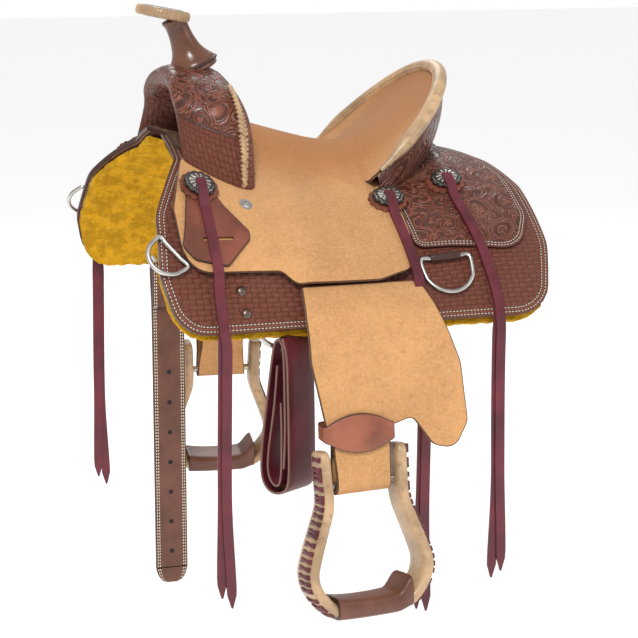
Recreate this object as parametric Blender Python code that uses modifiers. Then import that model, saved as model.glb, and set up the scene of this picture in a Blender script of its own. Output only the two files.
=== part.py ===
"""Western ranch saddle, youth size, standing on a rack.

The skirts, jockeys and fleece are cut from flat patterns and bent over one shared back shape.  The stirrups,
the folded cinch strap and the off billet hang below the skirts.  Left is -Y, the horn points to -X.
Lengths are in metres.  The origin is the ridge of the rack, under the seat.
"""

import math

import bpy
import bmesh
from mathutils import Matrix, Vector

GAP = 0.0003                    # left between pieces that touch

# The back that the saddle sits on
SKIRT_LENGTH = 0.470
SKIRT_HALF_WIDTH = 0.256        # sideways reach of the skirt's lower edge
SKIRT_EDGE_DROP = 0.127         # lower edge below the rack ridge
CHANNEL_HALF_WIDTH = 0.033      # open channel between the two skirts
SPINE_HEIGHT = 0.013            # inner edge of the skirts at the seat
WITHERS_RISE = 0.064            # how much higher that edge is at the front
LOIN_RISE = 0.0176              # and at the back
TOP_SLOPE = math.radians(6)     # slope of the skirts at the channel, under the seat
WITHERS_SLOPE = math.radians(8)  # added to it at the front

# The pattern sheet: its units are millimetres on a sheet that just covers one skirt
SHEET_LENGTH = 470.0
SHEET_DEPTH = 300.0
CUT_DOWN = 45.0                 # spacing of the bends down the sheet
CUT_ALONG = 118.0               # and along it

# Leather and lining
SKIRT_LEATHER = 0.0045
REAR_JOCKEY_LEATHER = 0.0035
SEAT_LEATHER = 0.0035
KEEPER_LEATHER = 0.0030
FLEECE = 0.011
BAR_THICKNESS = 0.008
SEAT_PADDING = 0.004
FORK_COVER = 0.0035

# Hardware
DEE_WIRE = 0.005
RIGGING_PLATE = 0.0025
RIGGING_HALF_WIDTH = 0.036
RIGGING_DROP = 0.044            # plate below its bend
STRAP_SLOT = 0.013              # height of the slot that a strap hangs in
CONCHO_DIAMETER = 0.038
CONCHO_THICKNESS = 0.003
BOLT_DIAMETER = 0.010

# Horn and fork
HORN_CAP_DIAMETER = 0.064
HORN_CAP_THICKNESS = 0.013
HORN_CAP_TILT = math.radians(11)
HORN_CAP_HEIGHT = 0.208
HORN_CAP_FORWARD = 0.173
HORN_BINDING = 0.0045
HORN_TOP_RADIUS = 0.0105
HORN_BASE_RADIUS = 0.024
HORN_POST_RADIUS = 0.006
HORN_BASE_HEIGHT = 0.137

# Cantle
CANTLE_HALF_WIDTH = 0.128
CANTLE_BINDING = 0.015
CANTLE_THICKNESS = 0.012

# Fender, stirrup and straps
FENDER_LEAN = math.radians(8.3)  # the fender and stirrup hang outwards below the skirt
FENDER_TOP = (0.270, -0.126)    # sideways place and height of the fender's upper edge
FENDER_BEND = -0.167            # height where it turns into the straight lean
FENDER_LEATHER = 0.004
STRAP_WIDTH = 0.044             # latigo and billet
LATIGO_LEATHER = 0.004
LATIGO_HALF_DEPTH = 0.010       # outside of the folded loop
LATIGO_LENGTH = 0.185
BILLET_LEATHER = 0.005
BILLET_LENGTH = 0.452
STRAP_CENTRE = -0.114           # fore-aft place of the rigging plates and their straps
STIRRUP_CENTRE = -0.027
STIRRUP_HALF_WIDTH = 0.078      # over the outside, at its widest
STIRRUP_NECK_HALF_WIDTH = 0.056
STIRRUP_HEIGHT = 0.186
STIRRUP_TOE_OUT = math.radians(6.5)
LEG_THICKNESS = 0.015
LEG_DEPTH = 0.040
BOLT_BELOW_LEG_TOP = 0.040
BOLT_HEIGHT = -0.297
BOLT_OUT = 0.295                # sideways place of the bolt
TREAD_THICKNESS = 0.012
HOBBLE_LEATHER = 0.0035

# Laces
LACE_WIDTH = 0.014              # both tails, one on the other
LACE_THICKNESS = 0.004
LACE_BOTTOM = -0.470
LACE_CLEARANCE = 0.0020
LACE_PLANE = 0.2635             # the tails hang in this plane, inside the fender's

LEFT = -1
RIGHT = 1
SIDES = (("left", LEFT), ("right", RIGHT))


# ------------------------------------------------------------------ scene and materials

def clear_scene():
    for item in list(bpy.data.objects):
        bpy.data.objects.remove(item, do_unlink=True)


def new_collection(name):
    made = bpy.data.collections.new(name)
    bpy.context.scene.collection.children.link(made)
    return made


clear_scene()
PARTS = new_collection("western_saddle")
GUIDES = new_collection("guides")


def finish_of(name, colour, roughness, metallic=0.0):
    made = bpy.data.materials.new(name)
    made.use_nodes = True
    shader = made.node_tree.nodes["Principled BSDF"]
    shader.inputs["Base Color"].default_value = (*colour, 1.0)
    shader.inputs["Roughness"].default_value = roughness
    shader.inputs["Metallic"].default_value = metallic
    made.diffuse_color = (*colour, 1.0)
    return made


SUEDE = ((0.62, 0.33, 0.14), 0.95)
TOOLED = ((0.16, 0.04, 0.018), 0.45)
RAWHIDE = ((0.55, 0.36, 0.15), 0.5)
BURGUNDY = ((0.09, 0.012, 0.02), 0.5)
WOOL = ((0.75, 0.38, 0.03), 1.0)
WOOD = ((0.45, 0.30, 0.16), 0.7)
STEEL = ((0.6, 0.6, 0.6), 0.3, 1.0)
SILVER = ((0.45, 0.44, 0.42), 0.4, 1.0)


def add_piece(name, mesh, finish):
    """Link a mesh as one named sub-part with its own material."""
    mesh.name = name
    mesh.materials.clear()
    mesh.materials.append(finish_of(name, *finish))
    made = bpy.data.objects.new(name, mesh)
    PARTS.objects.link(made)
    return made


def outward(shape):
    """Weld a closed bmesh and turn its faces outwards."""
    bmesh.ops.remove_doubles(shape, verts=shape.verts, dist=0.00001)
    bmesh.ops.recalc_face_normals(shape, faces=shape.faces)
    if shape.calc_volume(signed=True) < 0:
        bmesh.ops.reverse_faces(shape, faces=shape.faces)


def to_mesh(shape, name):
    outward(shape)
    made = bpy.data.meshes.new(name)
    shape.to_mesh(made)
    shape.free()
    return made


# ------------------------------------------------------------------ the back shape

def ease(value):
    value = min(max(value, 0.0), 1.0)
    return 0.5 - 0.5 * math.cos(math.pi * value)


def withers(x):
    """1 at the very front, falling to 0 under the seat."""
    return 1.0 - ease((x / SKIRT_LENGTH + 0.535) / 0.54)


def spine_height(x):
    loin = math.exp(-((x / SKIRT_LENGTH - 0.355) / 0.164) ** 2)
    return SPINE_HEIGHT + WITHERS_RISE * withers(x) + LOIN_RISE * loin


def section(x):
    """Start slope, radius and arc length of the skirt's curve across the horse at x."""
    start = TOP_SLOPE + WITHERS_SLOPE * withers(x)
    reach = SKIRT_HALF_WIDTH - CHANNEL_HALF_WIDTH
    drop = spine_height(x) + SKIRT_EDGE_DROP
    chord = math.hypot(reach, drop)
    turn = 2 * (math.atan2(drop, reach) - start)
    radius = chord / (2 * math.sin(turn / 2))
    return start, radius, radius * turn


def sheet_x(units):
    return units / SHEET_LENGTH * SKIRT_LENGTH


def on_back(x, down, lift, side):
    """Point of the back at x, down a share of the skirt's depth, lifted off it."""
    start, radius, length = section(x)
    slope = start + down * length / radius
    y = CHANNEL_HALF_WIDTH + radius * (math.sin(slope) - math.sin(start))
    z = spine_height(x) - radius * (math.cos(start) - math.cos(slope))
    return Vector((x, side * (y + lift * math.sin(slope)), z + lift * math.cos(slope)))


def slope_at(x, down):
    start, radius, length = section(x)
    return start + down * length / radius


def on_sheet(along, down, lift, side):
    """Point over the sheet: the back is faceted between the sheet's bends, so that all layers nest."""
    column = math.floor(along / CUT_ALONG)
    row = math.floor(down / CUT_DOWN)
    p = along / CUT_ALONG - column
    q = down / CUT_DOWN - row

    def corner(i, j):
        return on_back(sheet_x((column + i) * CUT_ALONG), (row + j) * CUT_DOWN / SHEET_DEPTH, lift, side)

    first = corner(0, 0)
    last = corner(1, 1)
    if q >= p:
        middle = corner(0, 1)
        return first + (last - middle) * p + (middle - first) * q
    middle = corner(1, 0)
    return first + (middle - first) * p + (last - middle) * q


# ------------------------------------------------------------------ leather cut from an outline

def rounded(corners, steps=3):
    """Outline through corners given as (along, down, corner radius)."""
    points = []
    count = len(corners)
    for index, (x, y, radius) in enumerate(corners):
        here = Vector((x, y))
        before = Vector(corners[index - 1][:2]) - here
        after = Vector(corners[(index + 1) % count][:2]) - here
        if radius <= 0:
            points.append(here)
            continue
        half = before.angle(after) / 2
        reach = min(radius / math.tan(half), 0.49 * before.length, 0.49 * after.length)
        radius = reach * math.tan(half)
        start = here + before.normalized() * reach
        end = here + after.normalized() * reach
        centre = here + (before.normalized() + after.normalized()).normalized() * math.hypot(radius, reach)
        for step in range(steps + 1):
            mixed = start.lerp(end, step / steps) - centre
            points.append(centre + mixed.normalized() * radius)
    return points


def cut_sheet(outlines, thickness):
    """Flat closed sheet between outlines, the first outside and the others holes, as a bmesh."""
    curve = bpy.data.curves.new("outline", "CURVE")
    curve.dimensions = "2D"
    curve.fill_mode = "BOTH"
    curve.extrude = thickness / 2
    for outline in outlines:
        spline = curve.splines.new("POLY")
        spline.points.add(len(outline) - 1)
        for point, place in zip(spline.points, outline):
            point.co = (place[0], place[1], 0.0, 1.0)
        spline.use_cyclic_u = True
    flat = bpy.data.objects.new("outline", curve)
    GUIDES.objects.link(flat)
    depsgraph = bpy.context.evaluated_depsgraph_get()
    mesh = bpy.data.meshes.new_from_object(flat.evaluated_get(depsgraph))
    bpy.data.objects.remove(flat, do_unlink=True)
    shape = bmesh.new()
    shape.from_mesh(mesh)
    bpy.data.meshes.remove(mesh)
    bmesh.ops.remove_doubles(shape, verts=shape.verts, dist=thickness * 0.01)
    return shape


def crease(shape, axis, places):
    """Cut a flat sheet along straight lines so that it can bend there."""
    for place in places:
        point = Vector((place, 0, 0)) if axis == 0 else Vector((0, place, 0))
        normal = Vector((1, 0, 0)) if axis == 0 else Vector((0, 1, 0))
        geometry = shape.verts[:] + shape.edges[:] + shape.faces[:]
        bmesh.ops.bisect_plane(shape, geom=geometry, dist=0.0001, plane_co=point, plane_no=normal)


def grid_lines(low, high, spacing):
    first = math.ceil(low / spacing + 0.01)
    last = math.floor(high / spacing - 0.01)
    return [step * spacing for step in range(first, last + 1)]


def crease_back(shape, outline):
    """Cut a sheet where every layer of the back bends: along it, down it and across each cell."""
    xs = [point[0] for point in outline]
    ys = [point[1] for point in outline]
    crease(shape, 0, grid_lines(min(xs), max(xs), CUT_ALONG))
    crease(shape, 1, grid_lines(min(ys), max(ys), CUT_DOWN))
    slants = [y / CUT_DOWN - x / CUT_ALONG for x, y in zip(xs, ys)]
    normal = Vector((-1 / CUT_ALONG, 1 / CUT_DOWN, 0))
    for step in grid_lines(min(slants), max(slants), 1):
        geometry = shape.verts[:] + shape.edges[:] + shape.faces[:]
        bmesh.ops.bisect_plane(shape, geom=geometry, dist=0.0001, plane_co=Vector((0, step * CUT_DOWN, 0)),
                               plane_no=normal)


def bent_piece(name, outlines, thickness, place, finish, bends=None):
    """Cut outlines from a flat sheet and bend it: place(along, down, height) gives each point."""
    flat = 1.0
    shape = cut_sheet(outlines, flat)
    if bends is None:
        crease_back(shape, outlines[0])
    else:
        crease(shape, 1, bends)
    bmesh.ops.triangulate(shape, faces=[face for face in shape.faces if len(face.verts) > 4])
    for vert in shape.verts:
        vert.co = place(vert.co.x, vert.co.y, (vert.co.z / flat + 0.5) * thickness)
    return add_piece(name, to_mesh(shape, name), finish)


def back_leather(name, outlines, thickness, lift, side, finish):
    """Leather that lies on the back, its underside lifted by lift."""
    def place(along, down, height):
        return on_sheet(along, down, lift + height, side)
    return bent_piece(name, outlines, thickness, place, finish)


# ------------------------------------------------------------------ levels above the back

RIGGING_LIFT = -(RIGGING_PLATE + GAP)
FLEECE_LIFT = RIGGING_LIFT - GAP - FLEECE
REAR_JOCKEY_LIFT = SKIRT_LEATHER + GAP
LEATHER_LIFT = SKIRT_LEATHER + GAP
LEATHER_THICKNESS = 0.005       # doubled stirrup leather
SEAT_JOCKEY_LIFT = max(LEATHER_LIFT + LEATHER_THICKNESS, REAR_JOCKEY_LIFT + REAR_JOCKEY_LEATHER) + GAP
DEE_LIFT = SKIRT_LEATHER + DEE_WIRE / 2 + 0.0016
KEEPER_LIFT = SEAT_JOCKEY_LIFT + SEAT_LEATHER + GAP


# ------------------------------------------------------------------ patterns

SKIRT_OUTLINE = (
    (-186, 2, 0), (-186, 66, 30), (-229, 160, 60), (-237, 236, 60), (-222, 300, 46), (-120, 300, 0),
    (100, 300, 0), (212, 300, 44), (234, 206, 90), (233, 100, 60), (214, 26, 44), (160, -31, 0),
    (118, -31, 0), (96, 2, 10),
)
FLEECE_OUTLINE = (
    (-184, 5, 0), (-184, 66, 30), (-226, 160, 60), (-234, 236, 60), (-218, 297, 46), (-172, 297, 8),
    (-170, 264, 4),
    (-62, 264, 4), (-60, 297, 8), (212, 297, 44), (231, 206, 90), (230, 100, 60), (212, 28, 44),
    (158, -28, 0),
    (120, -28, 0), (98, 5, 10),
)
SEAT_JOCKEY_OUTLINE = (
    (-181, 84, 14), (-212, 168, 40), (-206, 236, 48), (-150, 234, 30), (-96, 232, 10), (-80, 246, 12),
    (14, 246, 20),
    (60, 236, 30), (68, 170, 20), (58, 66, 0), (-96, 66, 0), (-96, 92, 0), (-120, 112, 0),
)
REAR_JOCKEY_OUTLINE = (
    (66, 110, 0), (70, 202, 14), (110, 205, 40), (196, 219, 34), (219, 165, 30), (216, 86, 40), (200, 34, 30),
    (160, -30, 0),
    (150, -30, 0), (150, 30, 10), (100, 60, 10),
)
BAR_OUTLINE = ((-180, 4, 0), (-184, 42, 10), (96, 42, 10), (96, 4, 0))
KEEPER_OUTLINE = (
    (-193, 157, 8), (-164, 146, 3), (-142, 153, 4), (-128, 176, 10), (-129, 194, 8), (-160, 229, 8),
    (-195, 223, 8),
    (-209, 206, 8),
)
KEEPER_SLOT_WIDTH = 3.5
CONCHO_PLACES = (("front", -174, 129), ("middle", 57, 122), ("rear", 136, 100))


def skirt_pieces(tag, side):
    back_leather(f"skirt_{tag}", [rounded(SKIRT_OUTLINE)], SKIRT_LEATHER, 0.0, side, TOOLED)
    back_leather(f"fleece_{tag}", [rounded(FLEECE_OUTLINE)], FLEECE, FLEECE_LIFT, side, WOOL)
    back_leather(f"rear_jockey_{tag}", [rounded(REAR_JOCKEY_OUTLINE)], REAR_JOCKEY_LEATHER, REAR_JOCKEY_LIFT,
                 side, TOOLED)
    back_leather(f"seat_jockey_{tag}", [rounded(SEAT_JOCKEY_OUTLINE)], SEAT_LEATHER, SEAT_JOCKEY_LIFT, side,
                 SUEDE)
    slots = []
    for low in (170, 196):
        slots.append([(-186, low), (-186 + 34, low), (-152, low + KEEPER_SLOT_WIDTH),
                      (-186, low + KEEPER_SLOT_WIDTH)])
    back_leather(f"latigo_keeper_{tag}", [rounded(KEEPER_OUTLINE, 3)] + slots, KEEPER_LEATHER, KEEPER_LIFT,
                 side, TOOLED)


def tree_bars(tag, side):
    back_leather(f"tree_bar_{tag}", [rounded(BAR_OUTLINE)], BAR_THICKNESS, SKIRT_LEATHER + GAP, side, WOOD)


# ------------------------------------------------------------------ lofted pieces

def loft(name, rings, finish, closed=False):
    """Skin between rings of equal length; end rings are capped unless the loft closes on itself."""
    shape = bmesh.new()
    made = [[shape.verts.new(point) for point in ring] for ring in rings]
    count = len(rings[0])
    spans = len(rings) if closed else len(rings) - 1
    for index in range(spans):
        here = made[index]
        there = made[(index + 1) % len(rings)]
        for step in range(count):
            after = (step + 1) % count
            shape.faces.new((here[step], here[after], there[after], there[step]))
    if not closed:
        shape.faces.new(made[0])
        shape.faces.new(list(reversed(made[-1])))
    bmesh.ops.triangulate(shape, faces=[face for face in shape.faces if len(face.verts) > 4])
    return add_piece(name, to_mesh(shape, name), finish)


def rounded_ring(corners, offset, per_side=3):
    """Closed ring that rounds four corners in space, pushed out from its middle by offset."""
    middle = sum(corners, Vector()) / 4
    ring = []
    for index, corner in enumerate(corners):
        before = corners[index - 1]
        after = corners[(index + 1) % 4]
        start = corner.lerp(before, 0.34)
        end = corner.lerp(after, 0.34)
        for step in range(per_side):
            blend = step / (per_side - 1)
            point = start.lerp(corner, blend).lerp(corner.lerp(end, blend), blend)
            ring.append(point + (point - middle).normalized() * offset)
    return ring


# Fork: stations from the foot to the crown, each with the corners front-in, front-out, back-out, back-in.
# A corner is (share of skirt length, sideways, height above the station's own base).
FORK_FEET_LIFT = SEAT_JOCKEY_LIFT + SEAT_LEATHER + 4 * GAP + FORK_COVER
FORK_STATIONS = (
    ((-0.368, 0.062, 0.102), (-0.374, 0.092, 0.086), (-0.206, 0.126, 0.052), (-0.215, 0.078, 0.070)),
    ((-0.370, 0.048, 0.112), (-0.378, 0.082, 0.112), (-0.203, 0.106, 0.092), (-0.222, 0.060, 0.090)),
    ((-0.368, 0.030, 0.118), (-0.376, 0.058, 0.134), (-0.212, 0.068, 0.118), (-0.234, 0.034, 0.104)),
    ((-0.366, 0.0, 0.120), (-0.372, 0.0, 0.146), (-0.222, 0.0, 0.138), (-0.242, 0.0, 0.110)),
)


def fork_foot(side):
    """Corners of the fork's foot, which stands on the front of the jockey."""
    places = ((-170, 66), (-180, 84), (-106, 118), (-98, 74))
    return [on_sheet(along, down, FORK_FEET_LIFT, side) for along, down in places]


def fork_rings(offset):
    """Rings from the left foot over the crown to the right foot."""
    left = [fork_foot(LEFT)]
    for corners in FORK_STATIONS:
        left.append([Vector((x * SKIRT_LENGTH, -y, z)) for x, y, z in corners])
    right = []
    for corners in reversed(left[:-1]):
        right.append([Vector((corner.x, -corner.y, corner.z)) for corner in corners])
    return [rounded_ring(corners, offset) for corners in left + right]


def densify(rings, parts=2):
    """Add smooth rings between the given ones."""
    dense = []
    last = len(rings) - 1
    for index in range(last):
        p0, p1, p2, p3 = (rings[min(max(index + shift, 0), last)] for shift in (-1, 0, 1, 2))
        for part in range(parts):
            t = part / parts
            ring = []
            for a, b, c, d in zip(p0, p1, p2, p3):
                ring.append(0.5 * (2 * b + (c - a) * t + (2 * a - 5 * b + 4 * c - d) * t * t
                                   + (3 * b - a - 3 * c + d) * t ** 3))
            dense.append(ring)
    dense.append(rings[-1])
    return dense


def tube_between(name, outer, inner, finish):
    """Wall between two lofts that share their number of rings, joined at both ends."""
    return loft(name, outer + list(reversed(inner)), finish, closed=True)


COVER_CLEARANCE = 0.0018


def fork():
    core = densify(fork_rings(-COVER_CLEARANCE))
    loft("tree_fork", core, WOOD)
    inner = densify(fork_rings(0.0))
    outer = densify(fork_rings(FORK_COVER))
    tube_between("fork_cover", outer, inner, TOOLED)


def fork_back_line(side, offset):
    """Line along the back of the swell, from the shoulder to the foot."""
    rings = densify(fork_rings(offset), 3)
    half = rings[:len(rings) // 2 + 1] if side == LEFT else list(reversed(rings[len(rings) // 2:]))
    return [ring[7] for ring in reversed(half)][2:]


def tube(name, points, radius, finish, closed=False, sides=2):
    """Round wire along points."""
    curve = bpy.data.curves.new(name, "CURVE")
    curve.dimensions = "3D"
    curve.bevel_depth = radius
    curve.bevel_resolution = sides
    curve.use_fill_caps = True
    spline = curve.splines.new("POLY")
    spline.points.add(len(points) - 1)
    for point, place in zip(spline.points, points):
        point.co = (*place, 1.0)
    spline.use_cyclic_u = closed
    flat = bpy.data.objects.new(name, curve)
    GUIDES.objects.link(flat)
    depsgraph = bpy.context.evaluated_depsgraph_get()
    mesh = bpy.data.meshes.new_from_object(flat.evaluated_get(depsgraph))
    bpy.data.objects.remove(flat, do_unlink=True)
    shape = bmesh.new()
    shape.from_mesh(mesh)
    bpy.data.meshes.remove(mesh)
    return add_piece(name, to_mesh(shape, name), finish)


SWELL_LACING_RADIUS = 0.0045


def swell_lacing(tag, side):
    line = fork_back_line(side, FORK_COVER + SWELL_LACING_RADIUS + 0.0022)
    tube(f"swell_lacing_{tag}", line, SWELL_LACING_RADIUS, RAWHIDE, sides=1)


def turned(name, profile, placing, finish, steps=24):
    """Turn a profile of (radius, height) points about Z with a Screw, then place it."""
    mesh = bpy.data.meshes.new(name)
    mesh.from_pydata([(radius, 0, height) for radius, height in profile],
                     [(index, index + 1) for index in range(len(profile) - 1)], [])
    made = bpy.data.objects.new(name, mesh)
    GUIDES.objects.link(made)
    screw = made.modifiers.new("turn", "SCREW")
    screw.steps = steps
    screw.render_steps = steps
    screw.use_merge_vertices = True
    screw.merge_threshold = 0.00001
    depsgraph = bpy.context.evaluated_depsgraph_get()
    solid = bpy.data.meshes.new_from_object(made.evaluated_get(depsgraph))
    bpy.data.objects.remove(made, do_unlink=True)
    shape = bmesh.new()
    shape.from_mesh(solid)
    bpy.data.meshes.remove(solid)
    shape.transform(placing)
    return add_piece(name, to_mesh(shape, name), finish)


def horn():
    """Post, leather-wrapped neck, cap and the cap's rawhide binding."""
    cap_middle = Vector((-HORN_CAP_FORWARD, 0, HORN_CAP_HEIGHT))
    cap_place = Matrix.Translation(cap_middle) @ Matrix.Rotation(HORN_CAP_TILT, 4, "Y")
    half = HORN_CAP_THICKNESS / 2
    core = HORN_CAP_DIAMETER / 2 - HORN_BINDING - GAP
    turned("horn_cap", [(0, half + 0.002), (core * 0.8, half + 0.002), (core, half), (core, -half),
                        (core * 0.7, -half), (0, -half)], cap_place, TOOLED)
    ring = core + GAP
    edge = HORN_CAP_DIAMETER / 2
    turned("horn_cap_binding", [(ring, half * 0.9), (edge - 0.001, half * 0.8), (edge, 0),
                                (edge - 0.001, -half * 0.8),
                                (ring, -half * 0.9), (ring, half * 0.9)], cap_place, RAWHIDE)
    top = Vector((-HORN_CAP_FORWARD + 0.018, 0, HORN_CAP_HEIGHT - half - 0.0100))
    foot = Vector((-HORN_CAP_FORWARD + 0.036, 0, HORN_BASE_HEIGHT + 0.0210))
    axis = top - foot
    length = axis.length
    place = Matrix.Translation(foot) @ axis.to_track_quat("Z", "Y").to_matrix().to_4x4()
    bore = HORN_POST_RADIUS + GAP
    turned("horn_wrap", [(bore, length), (HORN_TOP_RADIUS, length), (HORN_TOP_RADIUS + 0.001, length * 0.7),
                         (HORN_BASE_RADIUS * 0.72, length * 0.3), (HORN_BASE_RADIUS, 0.003),
                         (HORN_BASE_RADIUS, 0),
                         (bore, 0), (bore, length)], place, TOOLED)
    turned("horn_post", [(0, length - 0.001), (HORN_POST_RADIUS, length - 0.001), (HORN_POST_RADIUS, 0.0005),
                         (0, 0.0005)], place, STEEL, steps=12)


# ------------------------------------------------------------------ seat and cantle

CANTLE_FRONT = 0.087            # ends of the cantle, share of skirt length behind the ridge
CANTLE_TOP = (0.355, 0.137)     # share of skirt length, height
CANTLE_END_HEIGHT = 0.022
SEAT_FRONT = -0.200
SEAT_LOW_HEIGHT = 0.046


def rim_point(turn):
    """Middle of the cantle's rim; turn 0 is the left end, 0.5 the top, 1 the right end."""
    angle = math.pi * turn
    rise = math.sin(angle)
    x = SKIRT_LENGTH * (CANTLE_FRONT + (CANTLE_TOP[0] - CANTLE_FRONT) * rise)
    z = CANTLE_END_HEIGHT + (CANTLE_TOP[1] - CANTLE_END_HEIGHT) * rise
    return Vector((x, -CANTLE_HALF_WIDTH * math.cos(angle), z))


def seat_top(u, v):
    """Seat surface: u from the fork to the rim, v from the left edge to the right."""
    angle = math.pi * v
    edge_x = SKIRT_LENGTH * SEAT_FRONT
    front_y = -0.104 * math.cos(angle)
    front = Vector((edge_x, front_y, 0.078 - 0.034 * (front_y / 0.104) ** 2))
    low = Vector((SKIRT_LENGTH * 0.06, -0.106 * math.cos(angle), 0.0))
    low.z = SEAT_LOW_HEIGHT - 0.018 * math.cos(angle) ** 2
    rim = rim_point(v)
    rim -= (rim - low).normalized() * (CANTLE_BINDING / 2 + 0.015 * SKIRT_LENGTH)
    if u < 0.5:
        t = u * 2
        return front.lerp(low, t)
    t = (u - 0.5) * 2
    bent = low.lerp(rim, t)
    bent.z = low.z + (rim.z - low.z) * (0.35 * t + 0.65 * t * t)
    return bent


def slab(name, top, thickness, finish, rows=9, columns=12, span=(0.0, 1.0)):
    """Closed slab under the surface top(u, v)."""
    shape = bmesh.new()
    grids = []
    for drop in (0.0, thickness):
        grid = []
        for row in range(rows):
            u = row / (rows - 1)
            line = []
            for column in range(columns):
                v = span[0] + (span[1] - span[0]) * column / (columns - 1)
                line.append(shape.verts.new(top(u, v) - Vector((0, 0, drop))))
            grid.append(line)
        grids.append(grid)
    upper, lower = grids
    for row in range(rows - 1):
        for column in range(columns - 1):
            shape.faces.new((upper[row][column], upper[row + 1][column], upper[row + 1][column + 1],
                             upper[row][column + 1]))
            shape.faces.new((lower[row][column], lower[row][column + 1], lower[row + 1][column + 1],
                             lower[row + 1][column]))
    border = [(0, column) for column in range(columns - 1)]
    border += [(row, columns - 1) for row in range(rows - 1)]
    border += [(rows - 1, column) for column in range(columns - 1, 0, -1)]
    border += [(row, 0) for row in range(rows - 1, 0, -1)]
    for index, (row, column) in enumerate(border):
        after_row, after_column = border[(index + 1) % len(border)]
        shape.faces.new((upper[row][column], upper[after_row][after_column], lower[after_row][after_column],
                         lower[row][column]))
    return add_piece(name, to_mesh(shape, name), finish)


SEAT_SPAN = (0.09, 0.91)


def seat():
    """Suede seat over its padding."""
    slab("seat_leather", lambda u, v: seat_top(u, v), SEAT_LEATHER, SUEDE, span=SEAT_SPAN)
    drop = Vector((0, 0, SEAT_LEATHER + GAP))
    slab("ground_seat", lambda u, v: seat_top(u, v) - drop, SEAT_PADDING, WOOD, span=SEAT_SPAN)


def cantle():
    """Wooden cantle behind the dish, its leather back and the rawhide roll on its rim."""
    radius = CANTLE_BINDING / 2
    turns = [0.03 + 0.94 * step / 22 for step in range(23)]
    tube("cantle_binding", [rim_point(turn) for turn in turns], radius, RAWHIDE)
    below = radius + GAP
    back = Vector((0.012, 0, 0))

    def board(u, v):
        top = rim_point(v) - Vector((0.002, 0, below + 0.006 * math.cos(math.pi * v) ** 2))
        foot_y = top.y * 0.86
        foot = Vector((SKIRT_LENGTH * 0.215, foot_y, 0.0))
        foot.z = 0.062 - 0.030 * (foot_y / CANTLE_HALF_WIDTH) ** 2
        return top.lerp(foot, u) + back * math.sin(math.pi * u)

    def wall(name, start, thickness, finish):
        shape = bmesh.new()
        rows, columns = 5, 12
        grids = []
        for shift in (start, start + thickness):
            grid = []
            for row in range(rows):
                u = row / (rows - 1)
                line = []
                for column in range(columns):
                    v = 0.22 + 0.56 * column / (columns - 1)
                    point = board(u, v)
                    line.append(shape.verts.new(point + Vector((shift * 0.86, 0, -shift * 0.5))))
                grid.append(line)
            grids.append(grid)
        near, far = grids
        for row in range(rows - 1):
            for column in range(columns - 1):
                shape.faces.new((near[row][column], near[row][column + 1], near[row + 1][column + 1],
                                 near[row + 1][column]))
                shape.faces.new((far[row][column], far[row + 1][column], far[row + 1][column + 1],
                                 far[row][column + 1]))
        border = [(0, column) for column in range(columns - 1)]
        border += [(row, columns - 1) for row in range(rows - 1)]
        border += [(rows - 1, column) for column in range(columns - 1, 0, -1)]
        border += [(row, 0) for row in range(rows - 1, 0, -1)]
        for index, (row, column) in enumerate(border):
            after_row, after_column = border[(index + 1) % len(border)]
            shape.faces.new((near[row][column], near[after_row][after_column], far[after_row][after_column],
                             far[row][column]))
        return add_piece(name, to_mesh(shape, name), finish)

    wall("tree_cantle", 0.0, CANTLE_THICKNESS, WOOD)
    wall("cantle_back", CANTLE_THICKNESS + 2 * GAP, SEAT_LEATHER, TOOLED)


# ------------------------------------------------------------------ conchos, rings and laces

def frame_on_back(along, down, lift, side):
    """Matrix whose Z is the outward normal at a place on the back."""
    x = sheet_x(along)
    slope = slope_at(x, down / SHEET_DEPTH)
    normal = Vector((0, side * math.sin(slope), math.cos(slope)))
    run = Vector((1, 0, 0))
    across = normal.cross(run)
    turned_by = Matrix((run, across, normal)).transposed().to_4x4()
    return Matrix.Translation(on_sheet(along, down, lift, side)) @ turned_by


def lift_under_concho(along):
    if along < -100:
        return KEEPER_LIFT + KEEPER_LEATHER + GAP
    if along < 100:
        return KEEPER_LIFT
    return REAR_JOCKEY_LIFT + REAR_JOCKEY_LEATHER + GAP


CONCHO_STAND = LACE_THICKNESS + 0.0045   # rosette and lace under the concho


def conchos(tag, side):
    radius = CONCHO_DIAMETER / 2
    for name, along, down in CONCHO_PLACES:
        place = frame_on_back(along, down, lift_under_concho(along) + CONCHO_STAND, side)
        turned(f"concho_{tag}_{name}", [(0, CONCHO_THICKNESS + 0.003),
                                        (radius * 0.6, CONCHO_THICKNESS + 0.0015),
                                        (radius, 0.001), (radius, 0), (0, 0)], place, SILVER, steps=20)


def dee_outline(half_width, depth):
    """D-shaped path: a straight bar, two legs and a half circle, as (across, out) points."""
    legs = max(depth - half_width, 0.002)
    points = [(-half_width, 0.0), (-half_width * 0.4, 0.0), (half_width * 0.4, 0.0), (half_width, 0.0)]
    for step in range(9):
        angle = math.pi * step / 8
        points.append((half_width * math.cos(angle), legs + min(half_width, depth) * math.sin(angle)))
    return points


def dee(name, along, down, turn, half_width, depth, side):
    """Wire dee lying on the skirt, its bar at a place on the sheet, turned by an angle."""
    def lying(across, reach):
        run = across * 1000
        out = reach * 1000
        units_x = along + run * math.cos(turn) + out * math.sin(turn)
        units_s = down - run * math.sin(turn) + out * math.cos(turn)
        return on_sheet(units_x, units_s, DEE_LIFT, side)

    start = lying(-half_width, 0)
    end = lying(half_width, 0)
    far = lying(0, depth)
    bar = (end - start).normalized()
    middle = (start + end) / 2
    reach_way = far - middle
    reach_way = (reach_way - bar * reach_way.dot(bar)).normalized()
    points = [middle + bar * across + reach_way * reach for across, reach in dee_outline(half_width, depth)]
    return tube(name, points, DEE_WIRE / 2, STEEL, closed=True, sides=1)


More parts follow.
